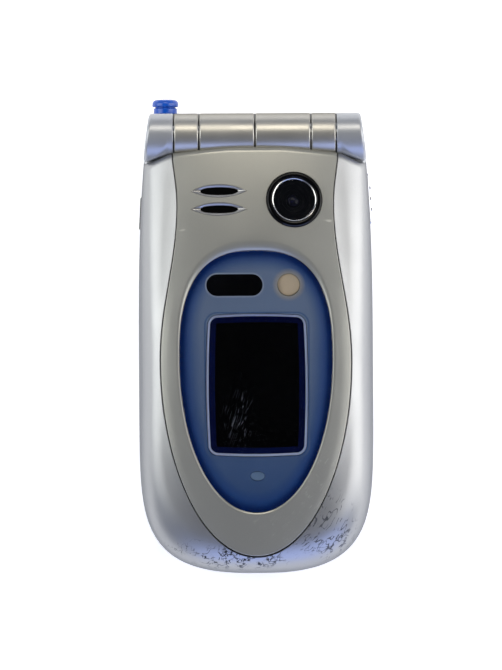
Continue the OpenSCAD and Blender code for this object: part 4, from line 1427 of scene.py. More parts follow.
def sleeve(start: float, end: float, radius: float, edge: float = 0.22,
           bore: float = 0.0) -> Mesh:
    """Barrel segment on the hinge axis with rounded ends.

    Args:
        start: Its left end along X.
        end: Its right end.
        radius: Its radius.
        edge: Radius of its rounded ends.
        bore: Radius of its hole, or 0.

    Returns:
        The closed mesh in millimetres.
    """
    length = end - start
    if bore:
        profile = [(bore, 0), (radius, 0), (radius, length), (bore, length), (bore, 0)]
        profile = [(bore, length / 2)] + profile[:-1] + [(bore, length / 2)]
    else:
        profile = [(0, 0), (radius, 0), (radius, length), (0, length)]
    bm = turned(round_corners(profile, edge * 1.6, 5), 128)
    return shifted(bm, Matrix.Translation((start, PHONE.hinge_y, PHONE.hinge_z))
                   @ Matrix.Rotation(math.pi / 2, 4, "Y"))


# ---------------------------------------------------------------- the base


@dataclass
class FrontCase:
    """Keypad half of the base: deck, side walls and the two hinge ears."""

    finish: Finish
    wall: float = 1.5
    deck_thick: float = 1.4
    edge_r: float = 0.8
    corner_r: float = 1.3
    step_z: float = 12.4
    end_r: float = 0.65

    def rim(self, corner: float) -> List[Point]:
        """The base's outline with its two hinge-end corners rounded."""
        right = even_path(PHONE.right_side(PHONE.end_y - corner), 0.9)
        cx = right[-1][0] - corner
        arc = [(cx + corner * math.cos(a), PHONE.end_y - corner + corner * math.sin(a))
               for a in (math.radians(k) for k in range(15, 91, 15))]
        half = right + arc
        return half + [(-x, y) for x, y in reversed(half[1:])]

    def build(self, keys: "Keypad") -> bpy.types.Object:
        """Makes the deck, carves it and adds the ears."""
        body = prism(self.rim(self.corner_r), PHONE.seam_z + 0.05, PHONE.deck_z, self.edge_r, 5)
        rims = [e for e in body.edges
                if all(abs(v.co.z - PHONE.seam_z - 0.05) < 1e-6 for v in e.verts)]
        bmesh.ops.bevel(body, geom=rims, offset=0.18, segments=2, profile=0.5, affect="EDGES",
                        material=-1)
        inner = (PHONE.half_width - self.wall) / PHONE.half_width
        hollow = prism([(x * inner, min(y * inner, 38.5)) for x, y in self.rim(self.corner_r)],
                       PHONE.seam_z - 1, PHONE.deck_z - self.deck_thick)
        body = carve(body, hollow)
        body = carve(body, bar(-PHONE.sleeve_end, PHONE.sleeve_end, PHONE.barrel_r + 0.1, 128))
        for side in (-1, 1):
            ends = sorted((side * (PHONE.sleeve_end - PHONE.axial_gap),
                           side * (PHONE.arm_end + PHONE.axial_gap)))
            body = carve(body, bar(ends[0], ends[1], PHONE.barrel_r + PHONE.swing_gap, 128))
        step = bmesh.new()
        bmesh.ops.create_cube(step, size=1)
        half = PHONE.arm_end + PHONE.axial_gap
        shifted(step, Matrix.Translation((0, PHONE.hinge_y + 3, self.step_z + 1))
                @ Matrix.Diagonal((2 * half, 6, 2, 1)))
        body = carve(body, step)
        body = carve(body, keys.cutter(PHONE.deck_z - self.deck_thick - 1, PHONE.deck_z + 1))
        body = carve(body, self.side_opening(1, 30.2, 11.3, 3.1))
        body = carve(body, self.side_opening(-1, 27.3, 7.0, 2.8))
        jack = bmesh.new()
        bmesh.ops.create_cone(jack, cap_ends=True, segments=48, radius1=1.75, radius2=1.75, depth=8)
        shifted(jack, Matrix.Translation((-PHONE.half_width + 1, -5, 10.7))
                @ Matrix.Rotation(math.pi / 2, 4, "Y"))
        body = carve(body, jack)
        mic = bmesh.new()
        bmesh.ops.create_cone(mic, cap_ends=True, segments=32, radius1=0.5, radius2=0.5, depth=6)
        body = carve(body, shifted(mic, Matrix.Translation((0, -42, PHONE.deck_z))))
        body = joined(body, self.ear(1), self.ear(-1))
        return settle("deck_case", body, [self.finish], "base", ["front_case"])

    def side_opening(self, side: int, y: float, length: float, height: float) -> Mesh:
        """Carves the place of a key or window in a side wall."""
        slope = (PHONE.side_x(y - 1) - PHONE.side_x(y + 1)) / 2
        outline = rounded_rect(length, height, 0.5, 5)
        block = prism(outline, -3, 2)
        turn = Matrix(((0, 0, 1, 0), (1, 0, 0, 0), (0, 1, 0, 0), (0, 0, 0, 1)))
        shifted(block, turn)
        place = Matrix.Translation((PHONE.side_x(y), y,
                                    SIDE_PARTS_Z)) @ Matrix.Rotation(math.atan(slope), 4, "Z")
        shifted(block, place)
        if side < 0:
            bmesh.ops.transform(block, matrix=Matrix.Diagonal((-1, 1, 1, 1)), verts=block.verts)
            bmesh.ops.reverse_faces(block, faces=block.faces)
        return block

    def ear_loop(self, x: float) -> List[Point]:
        """Section of an ear at a place across it, as points of Y and Z."""
        wing = PHONE.wing_radius(x) if x > PHONE.arm_end + 0.5 else PHONE.barrel_r
        big = (PHONE.wing_r ** 2 + PHONE.barrel_r ** 2) / (2 * PHONE.barrel_r)
        low_centre = PHONE.hinge_z + PHONE.barrel_r - big
        points = []
        for k in range(49):
            a = math.radians(222 - 222 * k / 48)
            dy, dz = math.cos(a), math.sin(a)
            reach = PHONE.barrel_r
            if dy < 0:
                offset = PHONE.hinge_z - low_centre
                along = -offset * dz + math.sqrt(max(0.0, big * big - offset * offset * dy * dy))
                reach = min(wing, max(along, PHONE.barrel_r))
            points.append((PHONE.hinge_y + reach * dy, PHONE.hinge_z + reach * dz))
        points += [(PHONE.end_y - 0.002, PHONE.hinge_z - 4 * k / 4) for k in range(1, 5)]
        points += [(PHONE.hinge_y, self.step_z - 0.4), (points[0][0] + 0.6, self.step_z - 0.4)]
        return points

    def ear(self, side: int) -> Mesh:
        """One ear: a barrel end whose front flares into a wing, rounded at its outer end."""
        start = PHONE.arm_end + PHONE.axial_gap
        steps = [0.0, 0.004, 0.012, 0.025] + [0.025 + 0.875 * k / 18 for k in range(1, 19)]
        steps += [0.9 + 0.1 * math.sin(math.pi / 2 * k / 10) for k in range(1, 11)]
        around = len(self.ear_loop(start))

        def place(i: int, j: int) -> Vector:
            """Point of the ear's skin; the first and last steps close it."""
            row = min(max(j - 1, 0), len(steps) - 1)
            t = steps[row]
            rough_x = start + (PHONE.side_x(PHONE.hinge_y) - start) * t
            loop = self.ear_loop(rough_x)
            y, z = loop[i % around]
            end = PHONE.side_x(min(y, PHONE.end_y)) + 0.004
            x = start + (end - start) * t
            centre = Vector((PHONE.hinge_y, PHONE.hinge_z - 0.8))
            arm = Vector((y, z)) - centre
            inset = edge_round(end - x, self.end_r) + edge_round(x - start, 0.15)
            arm *= max(0.0, 1 - inset / arm.length)
            if j in (0, len(steps) + 1):
                arm *= 0
            return Vector((side * x if j != len(steps) + 1 else side * end, *(centre + arm)))

        def closed(i: int, j: int) -> Vector:
            """The skin's point, with each end drawn to one point."""
            point = place(i, j)
            if j == 0:
                return Vector((side * start, PHONE.hinge_y, PHONE.hinge_z - 0.8))
            if j == len(steps) + 1:
                return Vector((side * PHONE.side_x(PHONE.hinge_y), PHONE.hinge_y,
                               PHONE.hinge_z - 0.8))
            return point

        return mapped_grid(around, len(steps) + 1, closed)


@dataclass
class RearCase:
    """Back half of the base with its rounded back, and the sliding battery cover."""

    finish: Finish
    cover_finish: Finish
    draw_in: float = 3.4
    rise: float = 5.5
    cover_w: float = 35.0
    cover_end: float = -4.0
    cover_thick: float = 1.2
    gap: float = 0.15
    corner_r: float = 1.3
    front: Optional[FrontCase] = None

    def form(self, inset: float, low: float, top: float) -> Mesh:
        """The rounded back as a closed form."""
        rim = self.front.rim(self.corner_r)
        levels = [(1 - (self.draw_in * (1 - math.sin(a)) + inset) / PHONE.half_width,
                   low + (self.rise - low) * (1 - math.cos(a)))
                  for a in (math.pi / 2 * k / 14 for k in range(15))]
        levels += [(1 - inset / PHONE.half_width, top - 0.18),
                   (1 - (inset + 0.05) / PHONE.half_width, top - 0.05),
                   (1 - (inset + 0.18) / PHONE.half_width, top)]
        count = len(rim)
        rows = len(levels) + 1

        def place(i: int, j: int) -> Vector:
            """Point of one level's ring, or the middle that closes an end."""
            if j == 0:
                return Vector((0, 0, levels[0][1]))
            if j == rows:
                return Vector((0, 0, top))
            x, y = rim[i % count]
            share, z = levels[j - 1]
            return Vector((x * share, y * share, z))

        return mapped_grid(count, rows, place)

    def box(self, half: float, low_y: float, high_y: float, low: float, high: float) -> Mesh:
        """A box symmetric across the phone with rounded upright corners."""
        outline = rounded_rect(2 * half, high_y - low_y, 1.2, 6)
        middle = (high_y + low_y) / 2
        return prism([(x, y + middle) for x, y in outline], low, high)

    def build(self) -> List[bpy.types.Object]:
        """Makes the back and the battery cover with its thumb ridges."""
        back = self.form(0, 0, PHONE.seam_z - 0.02)
        back = carve(back, self.form(1.5, 1.5, PHONE.seam_z + 2))
        low_y = -PHONE.end_y - 4
        back = carve(back, self.box(self.cover_w / 2 + self.gap, low_y, self.cover_end + self.gap,
                                    -1,
                                    self.cover_thick + 0.1))
        back = carve(back, self.box(16.4, -40.2, -5.8, 0, 3))
        mouth = [(x, y - PHONE.end_y) for x, y in rounded_rect(14.2, 8, 0.6)]
        back = carve(back, prism(mouth, 3.3, 6.1))
        for x, y in ((-19.8, -26), (19.8, -26), (-13.6, 33.5), (13.6, 33.5)):
            hole = bmesh.new()
            bmesh.ops.create_cone(hole, cap_ends=True, segments=40, radius1=1.5, radius2=1.5,
                                  depth=2.6)
            back = carve(back, shifted(hole, Matrix.Translation((x, y, 0))))
        bore = bmesh.new()
        bmesh.ops.create_cone(bore, cap_ends=True, segments=48, radius1=2.05, radius2=2.05,
                              depth=20)
        back = carve(back, shifted(bore, Matrix.Translation((-18.8, PHONE.end_y - 4, 6.0))
                                   @ Matrix.Rotation(math.pi / 2, 4, "X")))
        cover = self.form(0, 0, PHONE.seam_z)
        cover = carve(cover, self.box(self.cover_w / 2, low_y, self.cover_end, -1,
                                      self.cover_thick),
                      Cut.KEEP_COMMON)
        for k in range(5):
            groove = bmesh.new()
            bmesh.ops.create_cone(groove, cap_ends=True, segments=24, radius1=0.35, radius2=0.35,
                                  depth=14 - abs(k - 2) * 2)
            cover = carve(cover, shifted(groove, Matrix.Translation((0, -9 - 1.5 * k, -0.08))
                                         @ Matrix.Rotation(math.pi / 2, 4, "Y")))
        return [settle("back_case", back, [self.finish], "base", ["rear_case"]),
                settle("battery_lid", cover, [self.cover_finish], "battery_cover",
                       ["battery_cover"])]


@dataclass
class Keypad:
    """The deck's keys: round-cornered keys with plain digits, and the navigation ring."""

    finish: Finish
    ink: Finish
    green: Finish
    red: Finish
    corner: float = 1.8
    play: float = 0.2
    edge_r: float = 0.32
    nav_y: float = 17.0
    nav_r: float = 9.5
    centre_r: float = 3.9

    def marks(self) -> Dict[str, str]:
        """The generic character on each digit key, by node."""
        digits = {f"key_{n}": str(n) for n in range(10)}
        return {**digits, "key_star": "*", "key_hash": "#"}

    def pads(self) -> List[str]:
        """The nodes of the round-cornered keys."""
        return sorted(self.marks()) + ["soft_key_left", "soft_key_right", "mail_key", "web_key",
                                       "call_key", "clear_key", "end_key"]

    def place(self, node: str) -> Tuple[Point, Point]:
        """Centre and size of a key."""
        low, high = low_mm(node), high_mm(node)
        return ((low.x + high.x) / 2, (low.y + high.y) / 2), (high.x - low.x, high.y - low.y)

    def cutter(self, low: float, high: float) -> Mesh:
        """Closed shapes of all key holes."""
        holes = []
        for node in self.pads():
            (x, y), (w, h) = self.place(node)
            outline = rounded_rect(w + 2 * self.play, h + 2 * self.play, self.corner + self.play, 6)
            holes.append(prism([(x + px, y + py) for px, py in outline], low, high))
        ring = bmesh.new()
        radius = self.nav_r + self.play
        bmesh.ops.create_cone(ring, cap_ends=True, segments=96, radius1=radius, radius2=radius,
                              depth=high - low)
        holes.append(shifted(ring, Matrix.Translation((0, self.nav_y, (low + high) / 2))))
        return joined(*holes)

    def glyph(self, text: str, x: float, y: float, size: float, z: float) -> Mesh:
        """A plain character laid on a key's top.

        Args:
            text: The character.
            x: Its centre across.
            y: Its centre along.
            size: Its size in millimetres.
            z: Height of the key's top.

        Returns:
            Its mesh in millimetres.
        """
        curve = bpy.data.curves.new("glyph", "FONT")
        curve.body, curve.size, curve.extrude = text, size, 0.012
        curve.align_x, curve.align_y = "CENTER", "CENTER"
        holder = bpy.data.objects.new("glyph", curve)
        bpy.context.scene.collection.objects.link(holder)
        graph = bpy.context.evaluated_depsgraph_get()
        bm = bmesh.new()
        bm.from_mesh(holder.evaluated_get(graph).to_mesh())
        bpy.data.objects.remove(holder)
        bpy.data.curves.remove(curve)
        bmesh.ops.remove_doubles(bm, verts=bm.verts, dist=0.0005)
        return shifted(bm, Matrix.Translation((x, y, z + 0.006)))

    def inked(self, cap: Mesh, marks: Mesh, number: int) -> Mesh:
        """Joins printed marks to a key cap with their own material number."""
        for face in marks.faces:
            face.material_index = number
        return joined(cap, marks)

    def build(self) -> List[bpy.types.Object]:
        """Makes each key on its own body."""
        made, marks = [], self.marks()
        for node in self.pads():
            (x, y), (w, h) = self.place(node)
            low, high = low_mm(node).z, high_mm(node).z
            outline = [(x + px, y + py) for px, py in rounded_rect(w, h, self.corner, 9)]
            cap = prism(outline, low, high - 0.02, self.edge_r, 4)
            if node in marks:
                cap = self.inked(cap, self.glyph(marks[node], x, y, 4.4, high - 0.02), 1)
            elif node in ("call_key", "end_key"):
                sign = prism([(x + px, y + py) for px, py in rounded_rect(4.2, 1.2, 0.58, 6)],
                             high - 0.05, high - 0.004)
                cap = self.inked(cap, sign, 2 if node == "call_key" else 3)
            else:
                sign = prism([(x + px, y + py) for px, py in rounded_rect(2.6, 0.5, 0.24, 5)],
                             high - 0.05, high - 0.004)
                cap = self.inked(cap, sign, 1)
            made.append(settle(node + "_cap", cap, [self.finish, self.ink, self.green, self.red],
                               node,
                               [node]))
        low, high = low_mm("nav_ring").z, high_mm("nav_ring").z - 0.02
        bore = self.centre_r + self.play
        ring = turned(round_corners([(bore, (low + high) / 2), (bore, low), (self.nav_r, low),
                                     (self.nav_r, high - 0.1), (self.nav_r - 0.5, high),
                                     (self.nav_r - 2.6, high - 0.12), (bore + 0.5, high),
                                     (bore, high - 0.1),
                                     (bore, (low + high) / 2)], 0.25), 128)
        at = Matrix.Translation((0, self.nav_y, 0))
        made.append(settle("nav_ring_cap", shifted(ring, at), [self.finish], "nav_ring",
                           ["nav_ring"]))
        centre = turned(round_corners([(0, low), (self.centre_r, low), (self.centre_r, high - 0.1),
                                       (self.centre_r - 0.7, high), (0, high)], 0.3), 96)
        made.append(settle("centre_key_cap", shifted(centre, at), [self.finish], "centre_key",
                           ["centre_key"]))
        return made


@dataclass
class SmallParts:
    """Barrel sleeves, aerial knob, side key and infrared window."""

    sleeve_finish: Finish
    knob_finish: Finish
    chrome: Finish
    smoke: Finish
    slit: float = 0.25
    key_y: float = 30.2
    key_l: float = 10.8
    key_h: float = 2.6
    window_y: float = 27.3
    window_l: float = 6.8
    knob_r: float = 2.75
    knob_h: float = 3.1
    aerial: Point = (-18.8, 6.0)

    def build(self) -> List[bpy.types.Object]:
        """Makes all four kinds."""
        end = PHONE.sleeve_end - PHONE.axial_gap
        sleeves = [settle("sleeve_shell_left",
                          sleeve(-end, -self.slit / 2, PHONE.barrel_r, 0.22, 3.2),
                          [self.sleeve_finish], "base", ["barrel_sleeve_left"]),
                   settle("sleeve_shell_right",
                          sleeve(self.slit / 2, end, PHONE.barrel_r, 0.22, 2.25),
                          [self.sleeve_finish], "base", ["barrel_sleeve_right"])]
        return sleeves + [self.knob(), self.side_key(), self.smoke_window()]

    def knob(self) -> bpy.types.Object:
        """The aerial's translucent knob: neck, groove and domed cap."""
        r, h = self.knob_r, self.knob_h
        profile = [(0, 0), (r - 0.3, 0), (r - 0.3, h - 1.88), (r - 0.62, h - 1.8),
                   (r - 0.62, h - 1.62),
                   (r - 0.06, h - 1.56), (r, h - 1.3), (r - 0.02, h - 0.75), (r - 0.22, h - 0.32),
                   (r - 0.75, h - 0.04), (r - 1.4, h), (0, h)]
        bm = turned(round_corners(profile, 0.22, 5), 96)
        shifted(bm, Matrix.Translation((self.aerial[0], PHONE.end_y + 0.15, self.aerial[1]))
                @ Matrix.Rotation(-math.pi / 2, 4, "X"))
        return settle("aerial_cap", bm, [self.knob_finish], "aerial",
                      ["antenna_knob"])

    def at_side(self, y: float) -> Matrix:
        """Place and turn of a piece on the right side, with its own Z pointing outwards."""
        slope = (PHONE.side_x(y - 1) - PHONE.side_x(y + 1)) / 2
        turn = Matrix(((0, 0, 1, 0), (1, 0, 0, 0), (0, 1, 0, 0), (0, 0, 0, 1)))
        return (Matrix.Translation((PHONE.side_x(y), y,
                                    SIDE_PARTS_Z)) @ Matrix.Rotation(math.atan(slope), 4, "Z")
                @ turn)

    def side_key(self) -> bpy.types.Object:
        """The chromed rocker with its three ribs."""
        bar_ = prism(rounded_rect(self.key_l, self.key_h, 0.7, 8), -1.6, 0.3, 0.28, 4)
        ribs = []
        for k in (-1, 0, 1):
            rib = bmesh.new()
            bmesh.ops.create_cone(rib, cap_ends=True, segments=32, radius1=0.4, radius2=0.4,
                                  depth=self.key_h - 1.0)
            caps = [e for e in rib.edges if len({round(v.co.z, 4) for v in e.verts}) == 1]
            bmesh.ops.bevel(rib, geom=caps, offset=0.15, segments=3, profile=0.5, affect="EDGES",
                            material=-1)
            ribs.append(shifted(rib, Matrix.Translation((k * self.key_l / 4.8, 0, 0.24))
                                @ Matrix.Rotation(math.pi / 2, 4, "X")))
        bm = shifted(joined(bar_, *ribs), self.at_side(self.key_y))
        return settle("rocker_key", bm, [self.chrome], "side_key", ["side_key"])

    def smoke_window(self) -> bpy.types.Object:
        """The dark window on the left side."""
        bm = prism(rounded_rect(self.window_l, self.key_h, 0.6, 8), -1.4, 0.25, 0.2, 4)
        shifted(bm, self.at_side(self.window_y))
        bmesh.ops.transform(bm, matrix=Matrix.Diagonal((-1, 1, 1, 1)), verts=bm.verts)
        bmesh.ops.reverse_faces(bm, faces=bm.faces)
        return settle("side_window", bm, [self.smoke], "base", ["ir_window"])


# ---------------------------------------------------------------- finishes

# Silver lacquer with fine aluminium flake under a clear coat, sprayed on moulded ABS: a broad soft
# sheen that darkens where the sides roll away
# Dark scratch lines at its lower end paint shade onto the lower end and its corners
PEARL = Finish("pearl_silver_lacquer", "aaabac", 0.38, Grain.FLAKE, metallic=0.85, coat=0.1,
               coat_roughness=0.3, grit_mm=0.12, bump=0.03, shade=0.05, edge_tint="8a8d94",
               wear=Wear.LOWER_END)
PEARL_DECK = Finish("pearl_silver_lacquer_deck", "aeb1b6", 0.4, Grain.FLAKE, metallic=0.6,
                    coat=0.15,
                    coat_roughness=0.2, grit_mm=0.12, bump=0.03)
# Satin warm-grey lacquer on the plate: finer flake, a soft broad sheen
SATIN = Finish("warm_grey_satin_lacquer", "9e9e98", 0.3, Grain.FLAKE, metallic=0.5, coat=0.1,
               coat_roughness=0.3, grit_mm=0.10, bump=0.02, edge_tint="a0a0a0", wear=Wear.PLATE,
               wear_colour="c4c2bc")
# Lacquered hinge tubes, a little warmer and smoother than the shells
TUBE = Finish("hinge_tube_lacquer", "bab8b2", 0.38, Grain.FLAKE, metallic=0.85, coat=0.1,
              coat_roughness=0.3, grit_mm=0.10, bump=0.02, edge_tint="605e5a")
# Cast acrylic with a faint blue tint: clear, hard gloss
CLEAR = Finish("tinted_acrylic_window", "edf1f8", 0.03, Grain.FILM, ior=1.49, transmission=1.0,
               bump=0.0,
               shade=0.01)
# Blue print on the back of the window, darker at its edge, with a painted shadow line just outside
# the display's rim
PRINT_AND_SHADOW_LINE = Finish("blue_back_print_and_painted_shadow_line", "4d617c", 0.5, Grain.FILM, grit_mm=0.15, bump=0.0, ior=1.08)
# Moulded lavender ABS with a satin lacquer, its colour near-white: a painted highlight that gives
# the rim its bright line
RIM_PAINTED_HIGHLIGHT = Finish("lavender_rim_painted_highlight", "dfe6ff", 0.4, Grain.FLAKE, coat=0.2, grit_mm=0.12,
             bump=0.02)
# Deep navy moulded well round the display
NAVY = Finish("navy_well_plastic", "041448", 0.6, Grain.MOULDED, grit_mm=0.2, ior=1.15)
# Switched-off liquid-crystal display behind glass
DARK_DISPLAY = Finish("dark_display_glass", "010101", 0.25, Grain.FILM, bump=0.0, ior=1.1,
                      wear=Wear.GLASS, wear_colour="9c9ca2")
PANE_BLACK = Finish("black_backed_pane", "05060a", 0.1, Grain.FILM, coat=1.0, coat_roughness=0.03,
                    bump=0.0)
# Gloss black polycarbonate
GLOSS = Finish("gloss_black_polycarbonate", "020203", 0.12, Grain.POLISHED, grit_mm=0.6, bump=0.01,
               ior=1.35)
SMOKE = Finish("smoked_polycarbonate", "10131d", 0.08, Grain.POLISHED, coat=0.8,
               coat_roughness=0.03,
               grit_mm=0.6, bump=0.01)
CREAM = Finish("frosted_flash_cream", "f6dcb4", 0.5, Grain.MOULDED, grit_mm=0.18, bump=0.06)
LAMP = Finish("lamp_lens_blue_grey", "86a0bc", 0.3, Grain.MOULDED, coat=0.3, grit_mm=0.2, bump=0.03)
LENS_COVER = Finish("coated_cover_glass", "eef0f4", 0.0, Grain.FILM, ior=1.52, transmission=1.0,
                    bump=0.0, shade=0.0)
BARREL = Finish("lens_barrel_black", "020202", 0.5, Grain.TURNED, grit_mm=0.2, bump=0.05, ior=1.12)
EYE = Finish("violet_coated_lens", "0a0a20", 0.12, Grain.FILM, bump=0.0, ior=1.3)
# Diamond-turned edge of the ring under the lens cover: a mirror seen as thin bright arcs
BRIGHT = Finish("bright_turned_edge", "d4d4d2", 0.16, Grain.TURNED, metallic=1.0, grit_mm=0.3,
                bump=0.01,
                shade=0.02)
# Satin chromium plate, dull enough to show a soft sheen
SATIN_CHROME = Finish("satin_chromium_plate", "b4b3b1", 0.34, Grain.POLISHED, metallic=0.9,
                      grit_mm=0.4,
                      bump=0.01, shade=0.03)
# Bright chromium plate on ABS
CHROME = Finish("bright_chromium_plate", "c9cbd2", 0.13, Grain.POLISHED, metallic=1.0, grit_mm=0.8,
                bump=0.01, shade=0.03)
STEEL = Finish("turned_stainless_steel", "a7a8aa", 0.3, Grain.TURNED, metallic=1.0, grit_mm=0.15,
               bump=0.05)
GAUZE = Finish("black_acoustic_gauze", "040404", 0.8, Grain.MOULDED, grit_mm=0.3, bump=0.3, ior=1.1)
AERIAL_BLUE = Finish("blue_polycarbonate", "0450bd", 0.28, Grain.POLISHED, coat=0.2,
                     coat_roughness=0.1,
                     grit_mm=0.5, bump=0.01)
KEY_CAP = Finish("silver_key_lacquer", "c9ccd4", 0.3, Grain.FLAKE, metallic=0.3, coat=0.4,
                 grit_mm=0.12,
                 bump=0.02)
INK = Finish("dark_blue_key_print", "1c2440", 0.5, Grain.FILM, bump=0.0)
GREEN = Finish("green_key_print", "1f8f4b", 0.5, Grain.FILM, bump=0.0)
RED = Finish("red_key_print", "b3262e", 0.5, Grain.FILM, bump=0.0)
BOARD = Finish("solder_mask_green", "0f5a33", 0.35, Grain.MOULDED, coat=0.4, grit_mm=0.4, bump=0.08)
DOMES = Finish("polyester_dome_sheet", "d9dadc", 0.4, Grain.MOULDED, grit_mm=0.3)
CELL = Finish("battery_wrap", "3c4250", 0.4, Grain.MOULDED, coat=0.2, grit_mm=0.3)
RUBBER = Finish("grey_silicone_rubber", "6a6b70", 0.75, Grain.MOULDED, grit_mm=0.2, bump=0.1)
COPPER = Finish("polyimide_copper_film", "b4692c", 0.35, Grain.FILM, metallic=0.4)
DARK = Finish("black_moulded_nylon", "151619", 0.5, Grain.MOULDED, grit_mm=0.2, bump=0.08)

CAD_FINISHES: Dict[str, Finish] = {
    "hinge_cam_unit": STEEL, "hinge_bush": STEEL, "flex_cable": COPPER, "main_board": BOARD,
    "keypad_mat": DOMES, "battery": CELL, "vibration_motor": STEEL, "loudspeaker": DARK,
    "bottom_connector": STEEL, "headset_jack": DARK, "antenna_socket": STEEL, "case_screws": STEEL,
    "antenna_rod": CHROME, "main_window": PANE_BLACK,
    "main_display": DARK_DISPLAY, "earpiece": DARK, "lid_bumpers": RUBBER, "lid_screws": STEEL}


def dress_nodes() -> None:
    """Gives every CAD node that keeps its shape its own finish."""
    for name, finish in CAD_FINISHES.items():
        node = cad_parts[name]
        node.data.materials.clear()
        node.data.materials.append(FINISHER.material(finish))
        LOG.info("%s: keeps its solid, %s", name, finish.name)


def print_gradient() -> None:
    """Darkens the window's print towards its edge, and draws its halo and two outlines: the darker
    one, just outside the display's rim, is a painted shadow line; the pale one rings the dark pill.

    The piece's own attribute gives the distance to the edge in millimetres. Each outline has a
    centre and half size in millimetres, and its line's inner and outer distance in metres.
    """
    tree = FINISHER.material(PRINT_AND_SHADOW_LINE).node_tree
    shader = tree.nodes["Principled BSDF"]
    distance = add(tree, "ShaderNodeAttribute", {"attribute_name": "inward"}).outputs["Fac"]
    place = add(tree, "ShaderNodeTexCoord").outputs["Object"]
    along = add(tree, "ShaderNodeSeparateXYZ", links={"Vector": place}).outputs["Y"]
    field_colour = mix_colour(tree, ramp(tree, along, -0.033, 0.004), linear("4f6c98"),
                              linear("8595ae"))
    near = mix_colour(tree, ramp(tree, distance, 0.6, 2.4), linear("042b69"), linear("2a5596"))
    colour = mix_colour(tree, ramp(tree, distance, 1.0, 4.6), near, field_colour)
    flash = beyond(tree, place, (6.85, 12.1), (0.0, 0.0))
    colour = mix_colour(tree, ramp(tree, flash, 0.0035, 0.0025), colour, linear("b3ada4"))
    for centre, half, low, high, code in (
            # Darker line just outside the display's rim: a painted shadow line
            ((0.2, -8.7), (8.2, 12.5), 0.00245, 0.0027, "62789c"),
            ((-4.4, 12.1), (3.58, 0.0), 0.00222, 0.00252, "a9b4c4")):
        away = beyond(tree, place, centre, half)
        line = math_node(tree, "MULTIPLY", ramp(tree, away, low - 0.00008, low),
                         ramp(tree, away, high + 0.00008, high))
        colour = mix_colour(tree, line, colour, linear(code))
    tree.links.new(colour, shader.inputs["Base Color"])


# ---------------------------------------------------------------- stage, light and camera


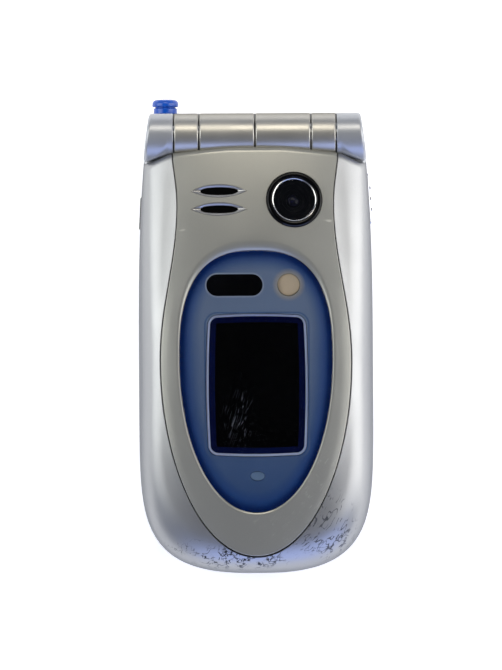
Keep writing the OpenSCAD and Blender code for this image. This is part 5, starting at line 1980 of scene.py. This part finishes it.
@dataclass
class Studio:
    """Pale floor, soft boxes round the phone and the camera straight above it."""

    distance: float = 1500.0
    view_w: float = 105.1
    view_x: float = -1.02
    view_y: float = 1.73
    focus_z: float = 14.0
    roll: float = -0.30
    floor_lift: float = 0.5

    def floor(self) -> bpy.types.Object:
        """Makes the plain pale floor."""
        bm = bmesh.new()
        bmesh.ops.create_grid(bm, x_segments=2, y_segments=2, size=3.0)
        shifted(bm, Matrix.Translation((0, 0, FLOOR_Z)))
        mesh = bpy.data.meshes.new("floor")
        bm.to_mesh(mesh)
        bm.free()
        plane = bpy.data.objects.new("floor", mesh)
        bpy.context.scene.collection.objects.link(plane)
        material = bpy.data.materials.new("pale_floor_card")
        material.use_nodes = True
        tree = material.node_tree
        shader = tree.nodes["Principled BSDF"]
        shader.inputs["Roughness"].default_value = 0.8
        place = add(tree, "ShaderNodeTexCoord").outputs["Object"]
        grain = add(tree, "ShaderNodeTexNoise", {"Scale": 900.0, "Detail": 2.0}, {"Vector": place})
        colour = mix_colour(tree, grain.outputs["Fac"], linear("f4f4f4"), linear("f8f8f8"))
        tree.links.new(colour, shader.inputs["Base Color"])
        path = add(tree, "ShaderNodeLightPath")
        seen = math_node(tree, "MAXIMUM", path.outputs["Is Camera Ray"],
                         path.outputs["Is Glossy Ray"])
        seen = math_node(tree, "MAXIMUM", seen, path.outputs["Is Transmission Ray"])
        lift = math_node(tree, "MULTIPLY", seen, self.floor_lift)
        shader.inputs["Emission Color"].default_value = (1, 1, 1, 1)
        tree.links.new(lift, shader.inputs["Emission Strength"])
        mesh.materials.append(material)
        return plane

    def lamp(self, name: str, place: Sequence[float], size: Point, power: float,
             colour: str) -> None:
        """Hangs one soft box that faces the phone.

        Args:
            name: Its name.
            place: Its centre in metres.
            size: Width and height in metres.
            power: Power in watts.
            colour: Its colour.
        """
        light = bpy.data.lights.new(name, "AREA")
        light.shape = "RECTANGLE"
        light.size, light.size_y = size
        light.energy = power
        light.color = linear(colour)[:3]
        holder = bpy.data.objects.new(name, light)
        bpy.context.scene.collection.objects.link(holder)
        aim = Vector((0, 0, 0.01)) - Vector(place)
        holder.matrix_world = (Matrix.Translation(place)
                               @ aim.to_track_quat("-Z", "Y").to_matrix().to_4x4())

    def light(self) -> None:
        """Sets the soft boxes and the world."""
        self.lamp("warm_end_box", (0.0, 0.546, 0.688), (0.5, 0.24), 2.0, "fff7e6")
        self.lamp("cool_end_box", (0.16, -0.79, 0.31), (1.2, 0.55), 3.6, "a8bcff")
        self.lamp("left_box", (-0.645, 0.13, 0.463), (0.6, 0.72), 3.7, "fafbf6")
        self.lamp("right_box", (0.68, 0.06, 0.415), (0.7, 0.84), 5.2, "fffdf8")
        world = bpy.data.worlds.new("studio")
        bpy.context.scene.world = world
        world.use_nodes = True
        tree = world.node_tree
        back = tree.nodes["Background"]
        way = add(tree, "ShaderNodeTexCoord").outputs["Generated"]
        rise = add(tree, "ShaderNodeSeparateXYZ", links={"Vector": way}).outputs["Z"]
        shade = mix_colour(tree, ramp(tree, rise, 0.55, 0.97), linear("a4aec8"), linear("2a2b30"))
        tree.links.new(shade, back.inputs["Color"])
        back.inputs["Strength"].default_value = 0.5
        white = add(tree, "ShaderNodeBackground", {"Color": (1, 1, 1, 1), "Strength": 1.0})
        path = add(tree, "ShaderNodeLightPath")
        mirrored = math_node(tree, "MAXIMUM", path.outputs["Is Glossy Ray"],
                             path.outputs["Is Transmission Ray"])
        low = math_node(tree, "MULTIPLY", mirrored, ramp(tree, rise, 0.1, 0.02))
        seen = math_node(tree, "MAXIMUM", low, path.outputs["Is Camera Ray"])
        mixed = add(tree, "ShaderNodeMixShader",
                    links={"0": seen, "1": back.outputs[0], "2": white.outputs[0]})
        tree.links.new(mixed.outputs[0], tree.nodes["World Output"].inputs["Surface"])

    def camera(self) -> None:
        """Places the long-lens camera straight above."""
        data = bpy.data.cameras.new("camera")
        data.type = "PERSP"
        data.sensor_fit = "VERTICAL"
        data.sensor_height = SENSOR_HEIGHT
        data.lens = data.sensor_height * self.distance / (self.view_w * PICTURE_TALL)
        data.clip_end = 20
        holder = bpy.data.objects.new("camera", data)
        bpy.context.scene.collection.objects.link(holder)
        holder.matrix_world = (Matrix.Translation((self.view_x * MM, self.view_y * MM,
                                                   (self.focus_z + self.distance) * MM))
                               @ Matrix.Rotation(math.radians(self.roll), 4, "Z"))
        bpy.context.scene.camera = holder


def main() -> None:
    """Builds the stage, then each assembly in order."""
    bpy.context.scene.view_settings.view_transform = "Standard"
    studio = Studio()
    studio.camera()
    studio.floor()
    studio.light()
    window = Window(CLEAR, PRINT_AND_SHADOW_LINE)
    plate = LidPlate(SATIN, window=window)
    shell = LidShell(PEARL, plate=plate)
    display = OuterDisplay(RIM_PAINTED_HIGHLIGHT, NAVY, DARK_DISPLAY, GLOSS, CREAM, LAMP)
    eye = CameraEye(GLOSS, LENS_COVER, BARREL, EYE, BRIGHT)
    trims = SpeakerTrims(SATIN_CHROME, GAUZE)
    keys = Keypad(KEY_CAP, INK, GREEN, RED)
    front = FrontCase(PEARL_DECK)
    shell.build()
    plate.build([eye.cutter(), *trims.cutters()])
    window.build(display.openings())
    display.build()
    eye.build()
    trims.build()
    LidInside(TUBE).build()
    front.build(keys)
    RearCase(PEARL_DECK, PEARL_DECK, front=front).build()
    keys.build()
    SmallParts(TUBE, AERIAL_BLUE, CHROME, SMOKE).build()
    print_gradient()
    dress_nodes()


if __name__ == "__main__":
    main()
